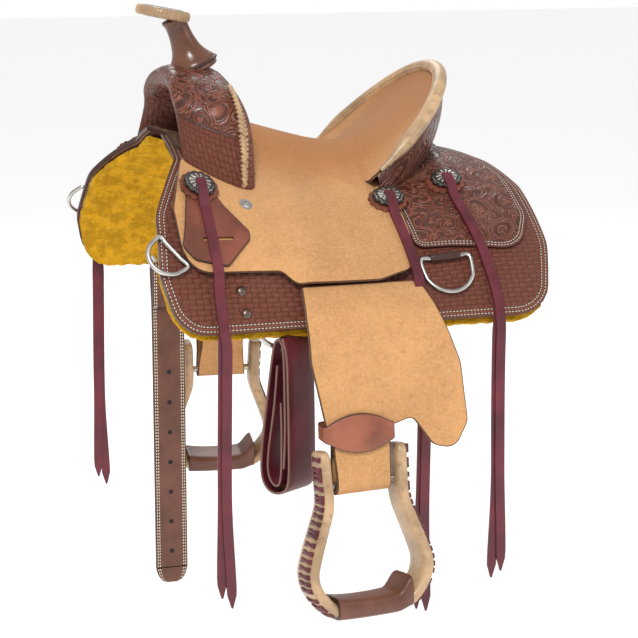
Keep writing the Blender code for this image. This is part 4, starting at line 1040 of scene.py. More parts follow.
def build_cantle():
    line = [rim(math.pi * (0.02 + 0.96 * step / 70)) for step in range(71)]
    rings = pipe(line, 0.0084, 18, False, lambda share,
                 angle: 0.35 + 0.65 * ease(min(share, 1 - share) / 0.10))
    shapes = [skin(rings)]
    seam = []
    for index in range(2, 69):
        point, run = line[index], (line[index + 1] - line[index - 1]).normalized()
        out = Vector((-0.62, 0, 0.35))
        out = (out - run * out.dot(run)).normalized()
        inward = Vector((0, 0, 0.03)) - point
        inward = (inward - run * inward.dot(run)).normalized()
        size = 0.35 + 0.65 * ease(min(index / 70, 1 - index / 70) / 0.10)
        seam.append(point + (out * 0.62 + inward * 0.78).normalized() * 0.0084 * size)
    shapes.append(skin(pipe(seam, 0.0007, 6)))
    binding = finished("cantle_binding_laced", merged(shapes), "rawhide", smooth=60)
    columns, rows = 56, 16
    outer, inner = [], []
    layers = {"along": [], "down": [], "edge": [], "run": []}
    for row in range(rows + 1):
        u = row / rows
        outer_row, inner_row, a_row, e_row, r_row = [], [], [], [], []
        for column in range(columns + 1):
            v = 0.015 + 0.97 * column / columns
            top = rim(math.pi * v) - Vector((0.001, 0, 0.003))
            wide = top.y / RIM_HALF
            foot = Vector((0.060 + 0.087 * (1 - wide * wide), top.y * 0.97, 0.0))
            foot.z = on_back(foot.x * 1000, max((abs(foot.y) - CHANNEL) * 1000, 0), -0.002, 1).z
            foot.z = min(foot.z, top.z - 0.002)
            point = top.lerp(foot, u) + Vector((0.010 * math.sin(math.pi * u) * (1 - wide * wide), 0, 0))
            outer_row.append(point + Vector((0.0050 * (1 - wide ** 4), 0, 0)))
            inner_row.append(point - Vector((0.0010, 0, 0)))
            a_row.append(top.y * 1000)
            e_row.append(min(u, 1 - u) * 60 + 0.5)
            r_row.append(v * 330)
        outer.append(outer_row)
        inner.append(inner_row)
        layers["along"].append(a_row)
        layers["down"].append([u * 60] * (columns + 1))
        layers["edge"].append(e_row)
        layers["run"].append(r_row)
    shape = bmesh.new()
    stored = {name: shape.verts.layers.float.new(name) for name in layers}
    grids = []
    for grid in (outer, inner):
        made = []
        for row, line_ in enumerate(grid):
            made.append([])
            for column, point in enumerate(line_):
                vert = shape.verts.new(point)
                for name, layer in stored.items():
                    vert[layer] = layers[name][row][column]
                made[-1].append(vert)
        grids.append(made)
    for made in grids:
        for here, there in zip(made, made[1:]):
            for column in range(columns):
                shape.faces.new((here[column], here[column + 1], there[column + 1], there[column]))
    front, behind = grids
    border = [(0, c) for c in range(columns)] + [(r, columns) for r in range(rows)]
    border += [(rows, c) for c in range(columns, 0, -1)] + [(r, 0) for r in range(rows, 0, -1)]
    for index, (r, c) in enumerate(border):
        r2, c2 = border[(index + 1) % len(border)]
        shape.faces.new((front[r][c], front[r2][c2], behind[r2][c2], behind[r][c]))
    back = finished("cantle_back_carved", shape, "carved", smooth=50)
    for made, nodes, slot in ((binding, ("cantle_binding",), "rawhide"),
                              (back, ("cantle_back", "tree_cantle"), "tooled_leather")):
        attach(made, "saddle")
        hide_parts(*nodes)


# ------------------------------------------------------------------ conchos, dees, strings

def scalloped(place, radius, depth, thickness, dome, count, finish, name):
    steps = count * 8
    levels = (0.0, 0.2, 0.4, 0.6, 0.75, 0.88, 0.96, 1.0)
    shape = bmesh.new()
    edge = shape.verts.layers.float.new("edge")
    run = shape.verts.layers.float.new("run")
    rows = []
    for share in levels:
        row = []
        for step in range(steps):
            angle = 2 * math.pi * step / steps
            outer = radius - depth * (1 - abs(math.sin(angle * count / 2))) * share ** 3
            height = thickness + dome * (1 - share ** 2)
            if share == 1.0:
                height = thickness * 0.6
            vert = shape.verts.new(place @ Vector((outer * share * math.cos(angle),
                                                   outer * share * math.sin(angle), height)))
            vert[edge] = radius * share * 1000
            vert[run] = angle
            row.append(vert)
        rows.append(row)
    last = []
    for vert in rows[-1]:
        local = place.inverted() @ vert.co
        low = shape.verts.new(place @ Vector((local.x, local.y, 0)))
        low[edge] = radius * 1000
        last.append(low)
    rows.append(last)
    for here, there in zip(rows, rows[1:]):
        for step in range(steps):
            after = (step + 1) % steps
            shape.faces.new((here[step], here[after], there[after], there[step]))
    shape.faces.new(last)
    bmesh.ops.remove_doubles(shape, verts=shape.verts, dist=0.00002)
    return finished(name, shape, finish, smooth=35)


def concho_lift(along, down):
    if along < -100:
        return SEAT_LIFT + 0.0070
    if along < 100:
        return SEAT_LIFT + 0.0036 + lip_rise(along, down)
    return 0.0086


def build_conchos():
    count = bpy.context.scene.saddle_strings.scallops
    for tag, side in SIDES:
        for name, along, down in CONCHOS:
            place = place_on_back(along, down, concho_lift(along, down), side)
            leaf = scalloped(place, 0.0235, 0.0022, 0.0030, 0.0008, count + 2, "plain",
                             f"rosette_{tag}_{name}")
            high = place @ Matrix.Translation((0, 0, 0.0062))
            disc = scalloped(high, 0.0190, 0.0020, 0.0016, 0.0036, count, "silver",
                             f"concho_{tag}_{name}_cast")
            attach(leaf, "saddle")
            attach(disc, "saddle")
            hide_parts(f"concho_{tag}_{name}")


def string_points(name, along, down, side, tail):
    """Points along one tail of a string from its concho to its tip."""
    lift = concho_lift(along, down) + 0.0045 + 0.0021 * tail
    wander = -1 if (name == "front" and side > 0) else 0
    drift = {"front": 30 * wander, "middle": 3, "rear": 16}[name]
    edge = {"front": 236, "middle": 250, "rear": 214}[name]
    low = 0.0070 + 0.0021 * tail
    points = []
    stops = 12
    for step in range(stops + 1):
        s = down - 2 + (296 - down) * step / stops
        share = (s - down) / (298 - down)
        high = concho_lift(along, min(s, edge)) + 0.0012 + 0.0021 * tail
        over = ease((s - edge + 2) / 26)
        height = high + (low - high) * over
        if step == 0:
            height = lift + 0.0060
        elif s < down + 17:
            height = lift + 0.0045
        points.append(on_back(along + drift * ease(share * 1.05), s, height, side))
    x = points[-1].x + (0.002 * (tail * 2 - 1))
    y = 0.2610 + 0.0021 * tail
    bottoms = {"front": (-0.428, -0.440), "middle": (-0.466, -0.469), "rear": (-0.438, -0.430)}[name]
    start = points[-1].z - 0.022
    bottom = bottoms[tail]
    for step in range(13):
        t = step / 12
        spread_out = (tail * 2 - 1) * 0.0035 * ease((t - 0.55) / 0.45)
        wobble = 0.0010 * math.sin(t * 5.0 + along)
        points.append(Vector((x + spread_out + wobble, side * y, start + (bottom - start) * t)))
    return spread(points, 3)


def build_strings():
    width = bpy.context.scene.saddle_strings.width
    for tag, side in SIDES:
        for name, along, down in CONCHOS:
            for tail in (0, 1):
                points = string_points(name, along, down, side, tail)
                rings, total = [], 0.0
                length = sum((b - a).length for a, b in zip(points, points[1:]))
                for index, point in enumerate(points):
                    before, after = points[max(index - 1, 0)], points[min(index + 1, len(points) - 1)]
                    if index:
                        total += (point - points[index - 1]).length
                    run = (after - before).normalized()
                    wide = Vector((1, 0, 0))
                    wide = (wide - run * wide.dot(run)).normalized()
                    thin = run.cross(wide)
                    narrow = min(1.0, 0.16 + (length - total) / 0.020)
                    half, flat = wide * width / 2 * narrow, thin * 0.0009
                    rings.append([point - half - flat, point + half - flat, point + half + flat,
                                  point - half + flat])
                piece = finished(f"string_{tag}_{name}_{'under' if tail == 0 else 'over'}", skin(rings),
                                 "burgundy",
                                 smooth=50)
                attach(piece, "saddle")
            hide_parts(f"lace_{tag}_{name}")


def dee_points(along, down, turn, half_width, depth, side):
    def lying(across, reach):
        run, out = across * 1000, reach * 1000
        return on_back(along + run * math.cos(turn) + out * math.sin(turn),
                       down - run * math.sin(turn) + out * math.cos(turn), 0.0045 + 0.0049, side)
    start, end, far = lying(-half_width, 0), lying(half_width, 0), lying(0, depth)
    bar = (end - start).normalized()
    middle = (start + end) / 2
    way = far - middle
    way = (way - bar * way.dot(bar)).normalized()
    legs = max(depth - half_width, 0.002)
    flat = [(-half_width, 0.0), (-half_width / 2, 0), (0, 0), (half_width / 2, 0), (half_width, 0.0)]
    for step in range(1, 12):
        angle = math.pi * step / 12
        flat.append((half_width * math.cos(angle), legs + min(half_width, depth) * math.sin(angle)))
    return [middle + bar * a + way * b for a, b in flat], middle, bar, way


def build_dees():
    for tag, side in SIDES:
        for name, along, down, turn, half, depth in ((f"breast_dee_{tag}", -218, 209, math.radians(-53),
                                                      0.023, 0.031),
                                                     (f"flank_dee_{tag}", 100, 222, 0.0, 0.029, 0.044)):
            points, middle, bar, way = dee_points(along, down, turn, half, depth, side)
            ring = finished(f"{name}_wire", skin(pipe(spread(points, 4, True), 0.0025, 12, True), True),
                            "steel", smooth=60)
            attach(ring, name)
            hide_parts(name)
            if name.startswith("breast"):
                continue
            normal = bar.cross(way)
            if normal.z < 0:
                normal = -normal
            wrap = []
            for step in range(14):
                angle = 2 * math.pi * step / 14
                out = -way * (math.cos(angle) * 0.0050 + 0.0012) + normal * math.sin(angle) * 0.0044
                wrap.append(out)
            rings = [[middle + bar * shift + offset for offset in wrap]
                     for shift in (-half * 0.62, -half * 0.3, 0, half * 0.3, half * 0.62)]
            tab = finished(f"{name}_tab", skin(rings), "plain", bevel=0.0006, smooth=60)
            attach(tab, "saddle")


# ------------------------------------------------------------------ fender, hobble strap and stirrup

FENDER = ((-78, 0, 0), (-82, 40, 20), (-82, 90, 40), (-67, 166, 8), (-60, 184, 8), (-59, 204, 6),
          (-60, 240, 0), (-56, 322, 6),
          (-2, 322, 6), (6, 244, 12), (6, 196, 8), (6, 166, 5), (34, 158, 10), (58, 192, 16), (84, 198, 18),
          (100, 168, 18),
          (94, 100, 50), (64, 10, 20), (56, 0, 0))
WRAP = 0.0085


def fender_line():
    """Side profile from the jockey's edge to the bolt, as (sideways, height)."""
    points = []
    for down, lift in ((251, 0.0112), (262, 0.0128), (276, 0.0146), (289, 0.0164)):
        point = on_back(-18, down, lift, 1)
        points.append(Vector((point.y, point.z)))
    touch = Vector((BOLT.y + WRAP * math.cos(LEAN), BOLT.z + WRAP * math.sin(LEAN)))
    for z in (-0.133, -0.167, -0.210, -0.260):
        y = touch.x - (z - touch.y) * math.tan(LEAN)
        if z > -0.16:
            y -= 0.003
        points.append(Vector((y, z)))
    points.append(touch)
    return spread(points, 10)


def build_fenders():
    line = fender_line()
    sums = [0.0]
    for a, b in zip(line, line[1:]):
        sums.append(sums[-1] + (b - a).length)
    total = sums[-1]
    for tag, side in SIDES:
        def place(along, drop, height):
            reach = drop / 1000
            out = height - 0.002
            if reach < total:
                index = max(i for i, value in enumerate(sums[:-1]) if value <= reach + 1e-9)
                t = (reach - sums[index]) / (sums[index + 1] - sums[index])
                here = line[index].lerp(line[index + 1], t)
                run = (line[index + 1] - line[index]).normalized()
                normal = Vector((-run.y, run.x)) * (-1 if -run.y < 0 else 1)
                here = here + normal * out
                curl = (abs(noise.noise(Vector((along / 40, drop / 50, side * 2.0)))) * 0.0025
                        * ease((reach - 0.05) / 0.05))
                point = Vector((along / 1000, side * (here.x + curl * (1 - ease((reach - 0.16) / 0.05))),
                                here.y))
            else:
                run = reach - total
                turned = min(run / WRAP, math.pi)
                rest = max(run - math.pi * WRAP, 0.0)
                normal = Vector((0, side * math.cos(LEAN), math.sin(LEAN)))
                down_way = Vector((0, side * math.sin(LEAN), -math.cos(LEAN)))
                arm = normal * math.cos(turned) + down_way * math.sin(turned)
                point = Vector((along / 1000, side * BOLT.y, BOLT.z)) + arm * (WRAP + out) - down_way * rest
            amount = 1 - ease((point.z - BOLT.z - 0.005) / 0.030)
            spun = Matrix.Rotation(-side * TOE * amount, 3,
                                   "Z") @ Vector((point.x - BOLT.x, point.y - side * BOLT.y, 0))
            return Vector((BOLT.x + spun.x, side * BOLT.y + spun.y, point.z))
        made = leather(f"fender_{tag}_suede", [rounded(FENDER)], 0.0040, place, "suede", step=4, bevel=0.0009)
        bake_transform(made)
        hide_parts(f"fender_{tag}", f"stirrup_leather_{tag}")


def fender_plane(z):
    touch = Vector((BOLT.y + WRAP * math.cos(LEAN), BOLT.z + WRAP * math.sin(LEAN)))
    return touch.x - (z - touch.y) * math.tan(LEAN)


def build_hobbles():
    """Strap round the fender's neck: a broad lens in front, narrow ends round the back."""
    front, back, half = 0.0032, 0.0202, 0.0385
    inside = rounded(((-half, -back, 0.004), (half, -back, 0.004), (half, front, 0.003),
                      (-half, front, 0.003)), 5)
    ring = []
    for index, point in enumerate(inside):
        after = inside[(index + 1) % len(inside)]
        count = 18 if (after - point).length > 0.05 else 1
        ring += [point.lerp(after, step / count) for step in range(count)]
    middle = Vector((0, (front - back) / 2))
    for tag, side in SIDES:
        rings, edges, runs = [], [], []
        total = 0.0
        for index, point in enumerate(ring):
            before, after = ring[index - 1], ring[(index + 1) % len(ring)]
            total += (point - before).length * 1000
            run = (after - before).normalized()
            out = Vector((run.y, -run.x))
            if out.dot(point - middle) < 0:
                out = -out
            share = max(0.0, 1 - (point.x / half) ** 2) if point.y > 0 else 0.0
            tall = (0.018 + 0.025 * share) / 2
            belly = 0.0016 * share
            section_ = []
            edge_row = []
            levels = (-1.0, -0.9, -0.6, -0.2, 0.2, 0.6, 0.9, 1.0)
            for level in levels:
                flat = point + out * (0.0034 + belly * (1 - level * level)
                                      - (0.0008 if abs(level) == 1 else 0))
                section_.append((flat, level * tall))
                edge_row.append((1 - abs(level)) * tall * 1000)
            for level in reversed(levels):
                section_.append((point, level * tall))
                edge_row.append((1 - abs(level)) * tall * 1000)
            made_ring = []
            for flat, rise in section_:
                z = -0.2385 + rise
                made_ring.append(Vector((-0.0295 + flat.x, side * (fender_plane(z) + flat.y * math.cos(LEAN)),
                                         z)))
            rings.append(made_ring)
            edges.append(edge_row)
            runs.append([total] * len(edge_row))
        made = finished(f"hobble_strap_{tag}_sewn", skin(rings, True, {"edge": edges, "run": runs}), "hobble",
                        smooth=45)
        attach(made, f"{tag}_fender")
        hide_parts(f"hobble_strap_{tag}")


def stirrup_place(side):
    return (Matrix.Translation((BOLT.x, side * BOLT.y, BOLT.z)) @ Matrix.Rotation(-side * TOE, 4, "Z")
            @ Matrix.Rotation(side * LEAN, 4, "X"))


def stirrup_line():
    top, height, thick = 0.040, 0.186, 0.015
    low = top - height + thick / 2
    neck, wide = 0.0485, 0.0705
    half = [(neck - 0.001, top), (neck - 0.002, top - 0.030), (neck - 0.002, top - 0.060),
            (neck + 0.006, top - 0.085),
            (wide - 0.006, top - 0.112), (wide, top - 0.135), (wide - 0.005, top - 0.155),
            (wide - 0.022, low + 0.004),
            (wide - 0.040, low), (0.0, low)]
    front = [Vector((-a, 0, h)) for a, h in half]
    rear = [Vector((a, 0, h)) for a, h in reversed(half[:-1])]
    return spread(front + rear, 6)


def build_stirrups():
    line = stirrup_line()
    for tag, side in SIDES:
        place = stirrup_place(side)
        rings, outline = [], []
        for index, point in enumerate(line):
            run = (line[min(index + 1, len(line) - 1)] - line[max(index - 1, 0)]).normalized()
            normal = Vector((-run.z, 0, run.x))
            share = (0.040 - point.z) / 0.186
            depth = 0.040 * (0.78 + 0.30 * ease(share * 1.3)) / 2
            end = min(index, len(line) - 1 - index)
            round_end = 1.0 if end > 2 else (0.72, 0.90, 0.98)[end]
            ring = []
            for step in range(20):
                angle = 2 * math.pi * step / 20
                a = math.copysign(abs(math.cos(angle)) ** 0.55, math.cos(angle))
                b = math.copysign(abs(math.sin(angle)) ** 0.75, math.sin(angle))
                ring.append(place @ (point + normal * 0.0075 * b * round_end
                                     + Vector((0, depth * a * round_end, 0))))
            rings.append(ring)
            outline.append((point, normal, depth, run))
        frame_piece = finished(f"stirrup_{tag}_rawhide", skin(rings), "rawhide", smooth=60)
        laces = []
        travelled, mark = 0.0, 0.005
        for index in range(1, len(outline) - 1):
            travelled += (outline[index][0] - outline[index - 1][0]).length
            low_part = len(outline) * 0.40 < index < len(outline) * 0.60
            while travelled >= mark and not low_part:
                point, normal, depth, run = outline[index]
                for slant in (-1, 1):
                    loop = []
                    for step in range(9):
                        t = step / 8
                        across = side * depth * (-0.30 + 1.12 * t)
                        proud = 0.0073 + 0.0012 * math.sin(math.pi * min(max(t, 0.08), 0.92))
                        if t > 0.9:
                            proud = 0.0062
                        loop.append(place @ (point - normal * proud + Vector((0, across, 0))
                                             + run * slant * 0.0032 * (t - 0.5)))
                    laces.append(skin(pipe(loop, 0.0017, 6)))
                mark += 0.0082
            if low_part:
                mark = travelled + 0.004
        lacing = finished(f"stirrup_{tag}_whip_lace", merged(laces), "thread", smooth=60)
        tread = []
        widths, runs = [], []
        low = 0.040 - 0.186
        for step in range(27):
            t = step / 26
            across = -0.046 + 0.092 * t
            rise = 0.0035 * abs(2 * t - 1) ** 2.4 + 0.012 * ease((t - 0.80) / 0.2)
            ring = []
            edge_row = []
            for part in range(24):
                angle = 2 * math.pi * part / 24
                a = math.copysign(abs(math.cos(angle)) ** 0.4, math.cos(angle)) * 0.0245
                b = math.copysign(abs(math.sin(angle)) ** 0.5, math.sin(angle))
                z = low + 0.0085 + b * (0.0118 if b > 0 else 0.0108) + rise * (1.2 if b > 0 else 0.35)
                ring.append(place @ Vector((across, a, z)))
                edge_row.append(min(t, 1 - t) * 92)
            tread.append(ring)
            widths.append(edge_row)
            runs.append([part * 6.0 for part in range(24)])
        cover = finished(f"tread_{tag}_cover", skin(tread, False, {"edge": widths, "run": runs}), "tread",
                         bevel=0.0008,
                         smooth=50)
        for made, nodes, slot in ((frame_piece, (f"stirrup_{tag}",), "rawhide"),
                                  (lacing, (), "tooled_leather"),
                                  (cover, (f"tread_{tag}",), "tooled_leather")):
            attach(made, f"{tag}_stirrup")
            if nodes:
                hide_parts(*nodes)
        ends = [place @ Vector((-0.0445, 0, 0)), place @ Vector((0.0445, 0, 0))]
        bolt = finished(f"stirrup_bolt_{tag}_shaft", skin(pipe(spread(ends, 4), 0.0046, 16)), "steel",
                        smooth=60)
        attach(bolt, f"{tag}_stirrup")
        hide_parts(f"stirrup_bolt_{tag}")


# ------------------------------------------------------------------ latigo, billet and small metal

STRAP_X = -0.114


def bar_point(side):
    base = on_back(-114, 270, -0.0028 + 0.00125, side)
    return Vector((STRAP_X, base.y, base.z - 0.040))


def strap_path(points, width, thickness, finish, name, yaw=0.0, centre=STRAP_X, side=-1, pivot=0.0, tip=0.0):
    """Strap whose width runs along X, from a side profile of (sideways, height)."""
    line = spread([Vector(p) for p in points], 5)
    rings, edges, runs = [], [], []
    total = 0.0
    whole = sum((b - a).length for a, b in zip(line, line[1:]))
    for index, point in enumerate(line):
        before, after = line[max(index - 1, 0)], line[min(index + 1, len(line) - 1)]
        if index:
            total += (point - line[index - 1]).length * 1000
        narrow = 1.0
        left = whole - total / 1000
        if tip and left < tip:
            narrow = 0.30 + 0.70 * math.sqrt(max(1 - ((tip - left) / tip) ** 2, 0))
        run = (after - before).normalized()
        normal = Vector((-run.y, run.x)) * thickness / 2
        ring, row = [], []
        for share in (-1, -0.93, -0.5, 0, 0.5, 0.93, 1):
            flat = 0.75 if abs(share) == 1 else 1.0
            ring.append((share * width / 2, point + normal * flat))
            row.append((1 - abs(share)) * width * 500)
        for share in (1, 0.93, 0.5, 0, -0.5, -0.93, -1):
            flat = 0.75 if abs(share) == 1 else 1.0
            ring.append((share * width / 2, point - normal * flat))
            row.append((1 - abs(share)) * width * 500)
        made = []
        for x, flat in ring:
            away = flat.x - pivot
            x *= narrow
            made.append(Vector((centre + x * math.cos(yaw) + away * math.sin(yaw),
                                side * (pivot + away * math.cos(yaw) - x * math.sin(yaw)), flat.y)))
        rings.append(made)
        edges.append(row)
        runs.append([total] * len(row))
    return finished(name, skin(rings, False, {"edge": edges, "run": runs}), finish, smooth=50)


def build_rigging():
    """Flat steel rings whose lower arc shows below the skirts."""
    for tag, side in SIDES:
        middle = abs(bar_point(side).y)
        points = []
        for step in range(25):
            angle = math.radians(165 + 7.2 * step)
            points.append(Vector((-0.0900 + 0.0460 * math.cos(angle),
                                  side * (middle - 0.0005 + 0.0012 * math.sin(angle)),
                                  -0.1120 + 0.0400 * math.sin(angle))))
        rings = []
        for index, point in enumerate(points):
            run = (points[min(index + 1, 24)] - points[max(index - 1, 0)]).normalized()
            thin = Vector((0, side, 0))
            wide = run.cross(thin).normalized()
            rings.append([point + wide * 0.0030 * math.cos(turn) + thin * 0.0019 * math.sin(turn)
                          for turn in [math.pi * step / 6 for step in range(12)]])
        ring = finished(f"rigging_ring_{tag}", skin(rings), "steel", smooth=60)
        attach(ring, "saddle")
        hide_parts(f"rigging_plate_{tag}")


def build_straps():
    bar = bar_point(-1)
    y, z = abs(bar.y), bar.z
    top = z + 0.0110
    low = top - 0.185 + 0.002
    outer = [(y + 0.0075, low + 0.030), (y + 0.0095, low + 0.070), (y + 0.0090, low + 0.120),
             (y + 0.0078, top - 0.026),
             (y + 0.0052, top - 0.011), (y, top - 0.0065), (y - 0.0052, top - 0.011),
             (y - 0.0090, top - 0.026),
             (y - 0.0150, low + 0.120), (y - 0.0250, low + 0.050), (y - 0.0260, low + 0.018),
             (y - 0.0180, low + 0.003),
             (y - 0.0040, low - 0.001), (y + 0.0105, low + 0.006), (y + 0.0150, low + 0.024),
             (y + 0.0152, low + 0.060),
             (y + 0.0140, low + 0.120), (y + 0.0120, top - 0.024), (y + 0.0060, top - 0.004)]
    first = strap_path(outer, 0.044, 0.0030, "latigo", "latigo_folded", math.radians(31), -0.091, pivot=y)
    inner = [(y - 0.0020, top - 0.036), (y - 0.0070, low + 0.10), (y - 0.0160, low + 0.045),
             (y - 0.0160, low + 0.020), (y - 0.0070, low + 0.008), (y + 0.0020, low + 0.016),
             (y + 0.0040, low + 0.060), (y + 0.0030, low + 0.105)]
    second = strap_path(inner, 0.043, 0.0028, "latigo", "latigo_inner", math.radians(31), -0.091, pivot=y)
    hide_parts("latigo")
    for made in (first, second):
        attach(made, "latigo")
    bar = bar_point(1)
    y, z = abs(bar.y), bar.z
    top = z + 0.0090
    tip = top - 0.452 + 0.004
    long_side = [(y - 0.0045, top - 0.060), (y - 0.0060, top - 0.030), (y - 0.0062, top - 0.010), (y, top),
                 (y + 0.0062, top - 0.010), (y + 0.0050, top - 0.030), (y + 0.0010, top - 0.060),
                 (y, top - 0.12), (y, top - 0.22),
                 (y, top - 0.33), (y, tip + 0.03), (y, tip + 0.022), (y, tip + 0.015),
                 (y, tip + 0.008), (y, tip + 0.003), (y, tip)]
    billet = strap_path(long_side, 0.044, 0.0046, "billet", "off_billet_sewn", side=1, tip=0.026)
    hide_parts("off_billet")
    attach(billet, "off_billet")
    # painted shade: near-black discs on both faces of the billet stand in for the shade seen through its
    # punched holes
    holes = []
    for step in range(7):
        height = tip + 0.045 + 0.042 * step
        for face in (-1, 1):
            place = Matrix.Translation((STRAP_X, y + face * 0.0024,
                                        height)) @ Matrix.Rotation(-face * math.pi / 2, 4, "X")
            holes.append(lathe([(0, 0.0003), (0.0030, 0.0003), (0.0034, -0.0003), (0, -0.0003)], place, 16))
    knot = []
    for drop, reach in ((0.0, 0.012), (0.004, 0.009)):
        knot.append(skin(pipe([Vector((STRAP_X - reach, y + 0.0045, z - 0.020 - drop)),
                               Vector((STRAP_X, y + 0.0085, z - 0.023 - drop)),
                               Vector((STRAP_X + reach, y + 0.0045, z - 0.020 - drop))], 0.0028, 8)))
    for shift, drop in ((-0.004, 0.055), (0.004, 0.070)):
        knot.append(skin(pipe([Vector((STRAP_X + shift * 0.5, y + 0.0085, z - 0.024)),
                               Vector((STRAP_X + shift, y + 0.0075, z - 0.045)),
                               Vector((STRAP_X + shift * 1.6, y + 0.0060, z - 0.020 - drop))], 0.0026, 8)))
    tie = finished("off_billet_tie", merged(knot), "burgundy", smooth=50)
    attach(tie, "off_billet")
    rings = finished("off_billet_holes", merged(holes), "hole", smooth=50)
    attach(rings, "off_billet")


def build_small_metal():
    for tag, side in SIDES:
        heads = []
        for along, down in ((-147, 253), (-145, 279)):
            place = place_on_back(along, down, 0.0046, side)
            heads.append(lathe([(0, 0.0026), (0.0030, 0.0023), (0.0050, 0.0013), (0.0058, 0.0002),
                                (0.0058, -0.0004),
                                (0, -0.0004)], place, 24))
        place = place_on_back(-121, 141, SEAT_LIFT + 0.0036, side)
        screw = [lathe([(0, 0.0008), (0.0022, 0.0008), (0.0026, 0.0026), (0.0048, 0.0024), (0.0054, 0.0012),
                        (0.0056, 0.0009),
                        (0.0080, 0.0006), (0.0082, -0.0004), (0, -0.0004)], place, 28)]
        screw = finished(f"screw_{tag}", merged(screw), "steel", smooth=40)
        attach(screw, "saddle")
        made = finished(f"rivets_{tag}", merged(heads), "dark_metal", smooth=50)
        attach(made, "saddle")
    for name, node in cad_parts.items():
        if node.hide_render:
            continue
        node.data.materials.clear()
        kind = "steel" if name.startswith(("rigging", "stirrup_bolt")) else "wood"
        node.data.materials.append(FINISHES[kind].material)


# ------------------------------------------------------------------ studio

def area_light(name, place, target, size, energy):
    data = bpy.data.lights.new(name, "AREA")
    data.shape = "DISK"
    data.size = size
    data.energy = energy
    lamp = bpy.data.objects.new(name, data)
    bpy.context.scene.collection.objects.link(lamp)
    lamp.location = place
    lamp.rotation_euler = (Vector(target) - Vector(place)).to_track_quat("-Z", "Y").to_euler()


FLOOR_HEIGHT = -0.66
CAMERA_PLACE = (-0.7399, -2.3238, 0.3391)
CAMERA_TILT, CAMERA_TURN = 11.82, -18.12     # degrees below level, and round the vertical
CAMERA_LENS, CAMERA_SENSOR = 113.1, 36
BACKDROP_ON_OBJECTS, BACKDROP_SEEN = 0.55, 1.0


def build_stage():
    scene = bpy.context.scene
    bpy.ops.object.select_all(action="DESELECT")
    bpy.ops.mesh.primitive_plane_add(size=30, location=(0, 0, FLOOR_HEIGHT))
    floor = bpy.context.object
    floor.name = "floor"
    paint = Finish("pale_floor", (0.90, 0.90, 0.90), 0.9, Emission_Strength=0.42)
    paint.set("Emission Color", (1, 1, 1, 1))
    floor.data.materials.append(paint.material)
    world = bpy.data.worlds.new("studio")
    world.use_nodes = True
    links = world.node_tree.links
    backdrop = world.node_tree.nodes["Background"]
    backdrop.inputs[0].default_value = (1, 1, 1, 1)
    seen = world.node_tree.nodes.new("ShaderNodeLightPath")
    power = world.node_tree.nodes.new("ShaderNodeMapRange")
    power.inputs["To Min"].default_value = BACKDROP_ON_OBJECTS
    power.inputs["To Max"].default_value = BACKDROP_SEEN
    links.new(seen.outputs["Is Camera Ray"], power.inputs["Value"])
    links.new(power.outputs[0], backdrop.inputs[1])
    scene.world = world
    area_light("key", (-1.1, -2.3, 2.5), (0, 0, -0.05), 0.9, 74)
    area_light("fill", (2.4, -1.6, 1.0), (0, 0, -0.1), 1.8, 12)
    area_light("back", (0.5, 2.4, 1.8), (0, 0, 0), 1.6, 22)
    data = bpy.data.cameras.new("camera")
    data.lens = CAMERA_LENS
    data.sensor_width = CAMERA_SENSOR
    data.clip_end = 60
    camera = bpy.data.objects.new("camera", data)
    scene.collection.objects.link(camera)
    camera.location = CAMERA_PLACE
    camera.rotation_euler = (math.radians(90 - CAMERA_TILT), 0, math.radians(CAMERA_TURN))
    scene.camera = camera
    scene.view_settings.view_transform = "Standard"


# ------------------------------------------------------------------ operators

class SADDLE_OT_finishes(bpy.types.Operator):
    """Make the leather, rawhide, wool and metal"""
    bl_idname = "saddle.finishes"
    bl_label = "Finishes"

    def execute(self, context):
        make_finishes()
        return {"FINISHED"}


class SADDLE_OT_skirts(bpy.types.Operator):
    """Add the skirts, rear jockeys and latigo keepers"""
    bl_idname = "saddle.skirts"
    bl_label = "Skirts"

    def execute(self, context):
        build_skirts()
        return {"FINISHED"}


class SADDLE_OT_fleece(bpy.types.Operator):
    """Add the wool lining"""
    bl_idname = "saddle.fleece"
    bl_label = "Fleece"

    def execute(self, context):
        build_fleece()
        return {"FINISHED"}


class SADDLE_OT_seat(bpy.types.Operator):
    """Add the suede seat and jockeys"""
    bl_idname = "saddle.seat"
    bl_label = "Seat"

    def execute(self, context):
        build_seat()
        return {"FINISHED"}


class SADDLE_OT_fork(bpy.types.Operator):
    """Add the carved fork cover and its lacing"""
    bl_idname = "saddle.fork"
    bl_label = "Fork"

    def execute(self, context):
        build_fork()
        return {"FINISHED"}


class SADDLE_OT_horn(bpy.types.Operator):
    """Add the horn's cap, binding and wrap"""
    bl_idname = "saddle.horn"
    bl_label = "Horn"

    def execute(self, context):
        build_horn()
        return {"FINISHED"}


class SADDLE_OT_cantle(bpy.types.Operator):
    """Add the cantle's binding and back"""
    bl_idname = "saddle.cantle"
    bl_label = "Cantle"

    def execute(self, context):
        build_cantle()
        return {"FINISHED"}


class SADDLE_OT_conchos(bpy.types.Operator):
    """Add the conchos and their rosettes"""
    bl_idname = "saddle.conchos"
    bl_label = "Conchos"

    def execute(self, context):
        build_conchos()
        return {"FINISHED"}


class SADDLE_OT_strings(bpy.types.Operator):
    """Add the leather strings"""
    bl_idname = "saddle.strings"
    bl_label = "Strings"

    def execute(self, context):
        build_strings()
        return {"FINISHED"}


class SADDLE_OT_dees(bpy.types.Operator):
    """Add the breast and flank dees"""
    bl_idname = "saddle.dees"
    bl_label = "Dees"

    def execute(self, context):
        build_dees()
        return {"FINISHED"}


class SADDLE_OT_fenders(bpy.types.Operator):
    """Add the suede fenders"""
    bl_idname = "saddle.fenders"
    bl_label = "Fenders"

    def execute(self, context):
        build_fenders()
        return {"FINISHED"}


